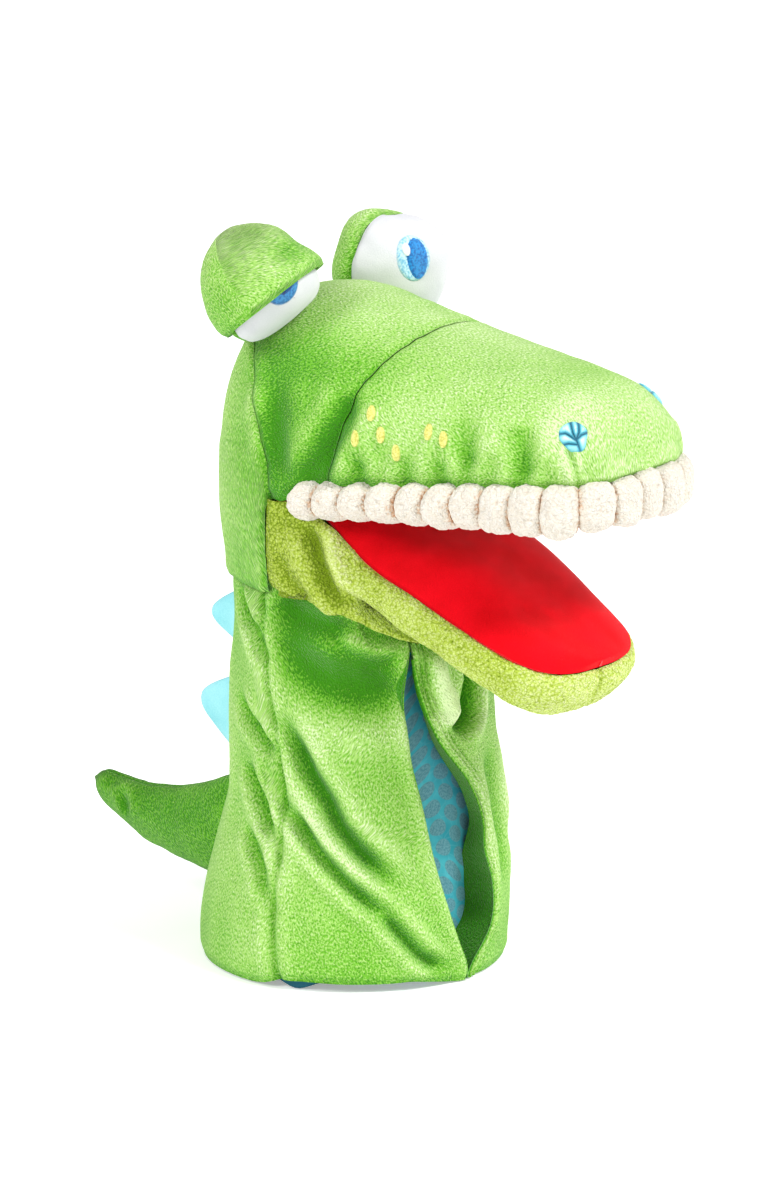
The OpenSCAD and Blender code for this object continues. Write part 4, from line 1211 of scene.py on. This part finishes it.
def tree_of(obj):
    mesh = obj.data
    points = [v.co / MM for v in mesh.vertices]
    return BVHTree.FromPolygons(points, [tuple(p.vertices) for p in mesh.polygons])


def patch_frame(tree, near, up_hint):
    """Where a patch of embroidery lies on the cloth, and its across, up and outward directions."""
    spot, normal, _, _ = tree.find_nearest(Vector(near))
    spot, n = np.array(spot), np.array(normal)
    if np.dot(n, np.asarray(near) - np.array([0, near[1], 215])) < 0:
        n = -n
    up = unit(np.asarray(up_hint, float) - np.dot(up_hint, n) * n)
    return spot, np.cross(up, n), up, n


def on_cloth(tree, place, u, v, lift):
    """A point u across and v up from a patch's middle, lifted off the cloth."""
    spot, across, up, n = place
    start = spot + u * across + v * up + 7 * n
    hit = tree.ray_cast(Vector(start), Vector(-n))[0]
    hit = np.array(hit) if hit is not None else start - 7 * n
    return hit + lift * n


def satin(tree, place, outline, low, high, pitch, lift):
    """Satin stitches side by side: outline gives the two ends of the stitch at each height."""
    lines = []
    for v in np.arange(low + pitch / 2, high, pitch):
        a, b = outline(v)
        if b - a < 0.4:
            continue
        line = []
        for s in spread(9):
            u = mix(a, b, s)
            arch = (1 - (2 * s - 1) ** 4) ** 0.5
            line.append(on_cloth(tree, place, u, v, lift * arch - 0.25))
        lines.append(line)
    return lines


def radial(tree, place, inner, outer, count, lift):
    """Stitches like spokes, from one oval out to another; an oval is its half sizes and its middle."""
    inner = np.array(inner)
    outer = np.array(outer)
    lines = []
    for a in spread(count, 0, 2 * math.pi):
        line = []
        for s in spread(7):
            half_u, half_v, u, v = mix(inner, outer, s)
            arch = (1 - (2 * s - 1) ** 4) ** 0.5
            line.append(on_cloth(tree, place, half_u * math.cos(a) + u, half_v * math.sin(a) + v,
                                 lift * arch - 0.2))
        lines.append(line)
    return lines


def sew(name, lines, radius, material, slot, *nodes):
    dress(tubes(name, lines, radius, material), slot, "head", *nodes)


def ellipse_stitches(tree, place, size, middle, pitch, lift):
    """Level satin stitches that fill an oval."""
    def ends(v):
        half = size[0] * math.sqrt(max(0, 1 - ((v - middle[1]) / size[1]) ** 2))
        return middle[0] - half, middle[0] + half
    return satin(tree, place, ends, middle[1] - size[1], middle[1] + size[1], pitch, lift)


def iris(side, white, azimuth, raised, ring, core, shift, ring_thread, core_thread):
    """Embroidered iris: a ring of spokes, a darker oval on them, and a white highlight."""
    eye = EYES[side]
    across, up, toward = view_axes(azimuth, raised)
    tree = tree_of(white)
    spot = np.array(tree.ray_cast(Vector(eye["centre"] + toward * 40), Vector(-toward))[0])
    place = (spot, across, up, toward)
    spokes = radial(tree, place, (core[0] * 0.7, core[1] * 0.7, *shift), (*ring, 0, 0), 110, 0.5)
    sew(f"{side}_iris_ring", spokes, 0.26, ring_thread, "iris_thread")
    lines = ellipse_stitches(tree, place, core, shift, 0.42, 0.9)
    sew(f"{side}_iris_core", lines, 0.29, core_thread, "iris_thread", f"{side}_iris")
    lines = ellipse_stitches(tree, place, (1.7, 2.4), (-2.6, 3.4), 0.42, 1.25)
    sew(f"{side}_iris_highlight", lines, 0.28, white_thread, "eye_cloth")


def build_lid(eye):
    """The drooping lid: thick pile cloth over the upper part of the right eye, cut off along a slanting line."""
    across, over, facing = eye["axes"]
    rows = 90
    cols = 150
    turn = spread(cols, 0, 360 * (1 - 1 / cols))
    # How far the cloth goes down, so that its edge lies in one plane
    tries = spread(60, 90, 135)
    span = around_axis(over, *crossed(tries, turn))
    drop = -(eye_reach(eye, span) * (span @ over))
    last = np.array([np.interp(-LID_CUT, drop[:, k], tries) for k in range(cols)])
    share = spread(rows) ** 0.9
    polar = 0.4 + (last - 0.4)[None] * share[:, None]
    direction = around_axis(over, polar, turn[None] + 0 * polar)
    reach = eye_reach(eye, direction)
    from_edge = (1 - share)[:, None] * 34 + 0 * polar
    corner = smooth(0.6, 1.0, direction @ across) * smooth(14, 0, from_edge)
    stand = mix(2.9, 1.9, smooth(2, 20, from_edge)) + 1.4 * corner
    fold = 0.9 * waves(eye["centre"] + direction * reach[..., None], 12, 91)
    fold += 0.4 * waves(direction * 22, 5, 92) - 0.9 * bell(from_edge, 1.4)
    fold -= 1.6 * smooth(0.2, 0.75, direction @ across) * bell(from_edge - 9, 5)
    grid = eye["centre"] + direction * (reach + stand + fold + 0.12 * curls(direction * 22, 1.6, 93))[..., None]
    middle = (rows // 2, cols // 2)
    grid, fold = turned(direction[middle], middle, grid, fold, closed=True)
    piece = shell("right_eyelid_cloth", grid, 2.4, green_pile, closed=True, fold=fold / 3)
    dress(piece, "green_pile", "head", "right_eyelid", fill=0.5)


def build_eyes():
    fronts = {}
    for side, eye in EYES.items():
        behind = [f"{side}_eye_back", f"{side}_eye_filling"]
        fronts[side] = eye_cap(f"{side}_eye_front", eye, 0.4, 90, white_cloth, [f"{side}_eye_white"],
                               "eye_cloth", 101)
        eye_cap(f"{side}_eye_rear", eye, 90, 179.6, green_pile, behind, "green_pile", 105)
    iris("right", fronts["right"], -30, 19, (7.4, 8.4), (5.7, 6.2), (0.6, 1.6), sky_thread, navy_thread)
    iris("left", fronts["left"], -23.5, 17, (6.7, 8.9), (5.0, 7.7), (1.4, -0.4), pale_thread, iris_thread)
    build_lid(EYES["right"])


# ---- embroidery on the snout ----

# y and z of the freckles on each cheek
FRECKLES = [(-46.8, 231.5), (-39.7, 218.2), (-51.3, 221.0), (-58.4, 215.4), (-70.0, 227.8), (-79.5, 224.1)]
NOSTRILS = {"right": (-28.6, -129.2, 229.8), "left": (26.5, -119.5, 232.0)}
# Grooves between the petals of a nostril, as points across and up from its middle
PETAL_GROOVES = [
    [(0.8, 6.5), (0.5, 3.6), (0.0, 0.8), (0.3, -3.0), (0.2, -7.5)],
    [(0.1, -2.2), (-1.8, 0.6), (-2.6, 1.6), (-5.8, 2.6)],
    [(0.1, -2.2), (2.2, 0.2), (3.0, 2.4), (3.4, 5.0)],
    [(0.3, -4.2), (-2.8, -2.4), (-5.6, -2.0)],
    [(0.1, -2.2), (2.6, -1.0), (5.6, -0.6)],
]


def nostril_outline(turn):
    """Half-width of the nostril's teardrop at a turn from straight across: rounded above, pointed below."""
    down = np.clip(-np.sin(turn), 0, 1)
    return 5.4 + 1.3 * down ** 5 - 1.5 * down * (1 - down) + 0.10 * np.cos(5 * turn + 0.5)


def build_nostril(side, tree, flip):
    """Plump satin petals that meet along grooves."""
    place = patch_frame(tree, NOSTRILS[side], (flip * 0.06, 0.5, 0.9))
    share, turn = crossed(spread(34, 1, 0.02), turns(96))
    reach = share * nostril_outline(turn)
    u, v = reach * np.cos(turn), reach * np.sin(turn)
    flat = np.stack([u, v, 0 * u], axis=-1)
    groove = np.full(u.shape, 1e9)
    for line in PETAL_GROOVES:
        line = np.array([(*p, 0.0) for p in line])
        for a, b in zip(line, line[1:]):
            t = np.clip(((flat - a) @ (b - a)) / ((b - a) @ (b - a)), 0, 1)
            groove = np.minimum(groove, np.linalg.norm(flat - a - t[..., None] * (b - a), axis=-1))
    dome = np.sqrt(np.clip(1 - share ** 3, 0, 1))
    plump = 1 - np.exp(-(groove / 0.85) ** 1.5)
    lift = dome * (0.1 + 1.7 * plump)
    grid = np.array([[on_cloth(tree, place, *spot) for spot in zip(*row)] for row in zip(flip * u, v, lift)])
    # Painted shade in the grooves and toward the outline; painted highlight on the crests of the petals
    value = 1.15 * plump * (0.35 + 0.65 * dome) - 0.2
    grid, value = turned(place[3], (10, 0), grid, value, closed=True)
    piece = shell(f"{side}_nostril_petals", grid, 0.8, nostril_thread, closed=True, fold=value)
    dress(piece, "nostril_thread", "head", f"{side}_nostril")


def build_snout_embroidery(snout):
    tree = tree_of(snout)
    for side, sign in (("right", -1), ("left", 1)):
        lines = []
        for y, z in FRECKLES:
            place = patch_frame(tree, (sign * 50, y, z), (0, 0.1, 1))
            lines += ellipse_stitches(tree, place, (1.9, 3.0), (0, 0), 0.46, 0.75)
        sew(f"{side}_cheek_freckles", lines, 0.33, freckle_thread, "freckle_thread", f"{side}_freckles")
        build_nostril(side, tree, -sign)


# ---- hidden pieces, stage, camera ----

def dress_hidden_pieces():
    """The boards and pockets keep their CAD shapes, and get their own cloths."""
    looks = {
        "upper_mouth_board": foam_sheet, "lower_mouth_board": foam_sheet, "finger_pocket": pocket_cloth,
        "thumb_pocket": pocket_cloth,
    }
    for node, material in looks.items():
        obj = bpy.data.objects[node]
        if not obj.material_slots:
            obj.data.materials.append(material)
        for slot in obj.material_slots:
            slot.material = material


def build_stage():
    floor_material, tree, shader = node_material("stage_floor", rough=0.9, specular=0.1)
    tint = ramp_of(tree, noise_of(tree, 400.0), [(0.3, (0.92, 0.92, 0.92)), (0.7, (0.95, 0.95, 0.95))])
    tree.links.new(tint, shader.inputs["Base Color"])
    # The floor glows a little: painted light that brightens it and lights the puppet from below
    shader.inputs["Emission Color"].default_value = (1, 1, 1, 1)
    shader.inputs["Emission Strength"].default_value = 0.34
    size = 6000.0
    corners = [(-size, -size, 0), (size, -size, 0), (size, size, 0), (-size, size, 0)]
    floor = make_object("stage_floor", np.array(corners), [(0, 1, 2, 3)], floor_material)

    world = bpy.data.worlds.new("studio")
    bpy.context.scene.world = world
    world.use_nodes = True
    world.node_tree.nodes["Background"].inputs["Color"].default_value = (1, 1, 1, 1)
    world.node_tree.nodes["Background"].inputs["Strength"].default_value = 0.46
    bpy.context.scene.view_settings.view_transform = "Standard"

    def area(name, place, energy, size_m):
        light = bpy.data.lights.new(name, "AREA")
        light.energy = energy
        light.size = size_m
        lamp = bpy.data.objects.new(name, light)
        lamp.location = place
        lamp.rotation_euler = (Vector((0, 0, 0.15)) - Vector(place)).to_track_quat("-Z", "Y").to_euler()
        bpy.context.scene.collection.objects.link(lamp)
    area("key", (0.2, -3.3, 3.8), 185, 1.3)
    area("right", (3.0, -1.6, 1.0), 34, 1.8)
    area("top_left", (-3.2, 0.6, 2.4), 88, 1.6)


def build_camera():
    """A long lens at the photograph's angle: azimuth -50, elevation 15."""
    right, up, back = (Vector(way) for way in view_axes(-50, 15))
    height = 0.4617
    distance = 3.0
    aim = right * 0.0135 + up * 0.1351
    data = bpy.data.cameras.new("camera")
    data.sensor_fit = "VERTICAL"
    data.sensor_height = 36
    data.lens = 36 * distance / height
    camera = bpy.data.objects.new("camera", data)
    camera.location = aim + back * distance
    camera.rotation_euler = (-back).to_track_quat("-Z", "Y").to_euler()
    bpy.context.scene.collection.objects.link(camera)
    bpy.context.scene.camera = camera


build_camera()
build_stage()
build_sleeve()
build_facing("right_slit_fold", NEAR_EDGE, -1, 5.0, "right_slit_facing")
build_facing("left_slit_fold", FAR_EDGE, 1, 7.0, "left_slit_facing")
build_lining_band()
build_bag()
build_spike("upper_spike_cloth", 105, 141, 72.5, 122.6, "upper_spike")
build_spike("lower_spike_cloth", 57, 105, 78.5, 86.5, "lower_spike")
build_tail()
snout_piece = build_head()
build_jaw_cover()
build_tongue()
build_palate()
build_teeth()
build_eyes()
build_snout_embroidery(snout_piece)
dress_hidden_pieces()
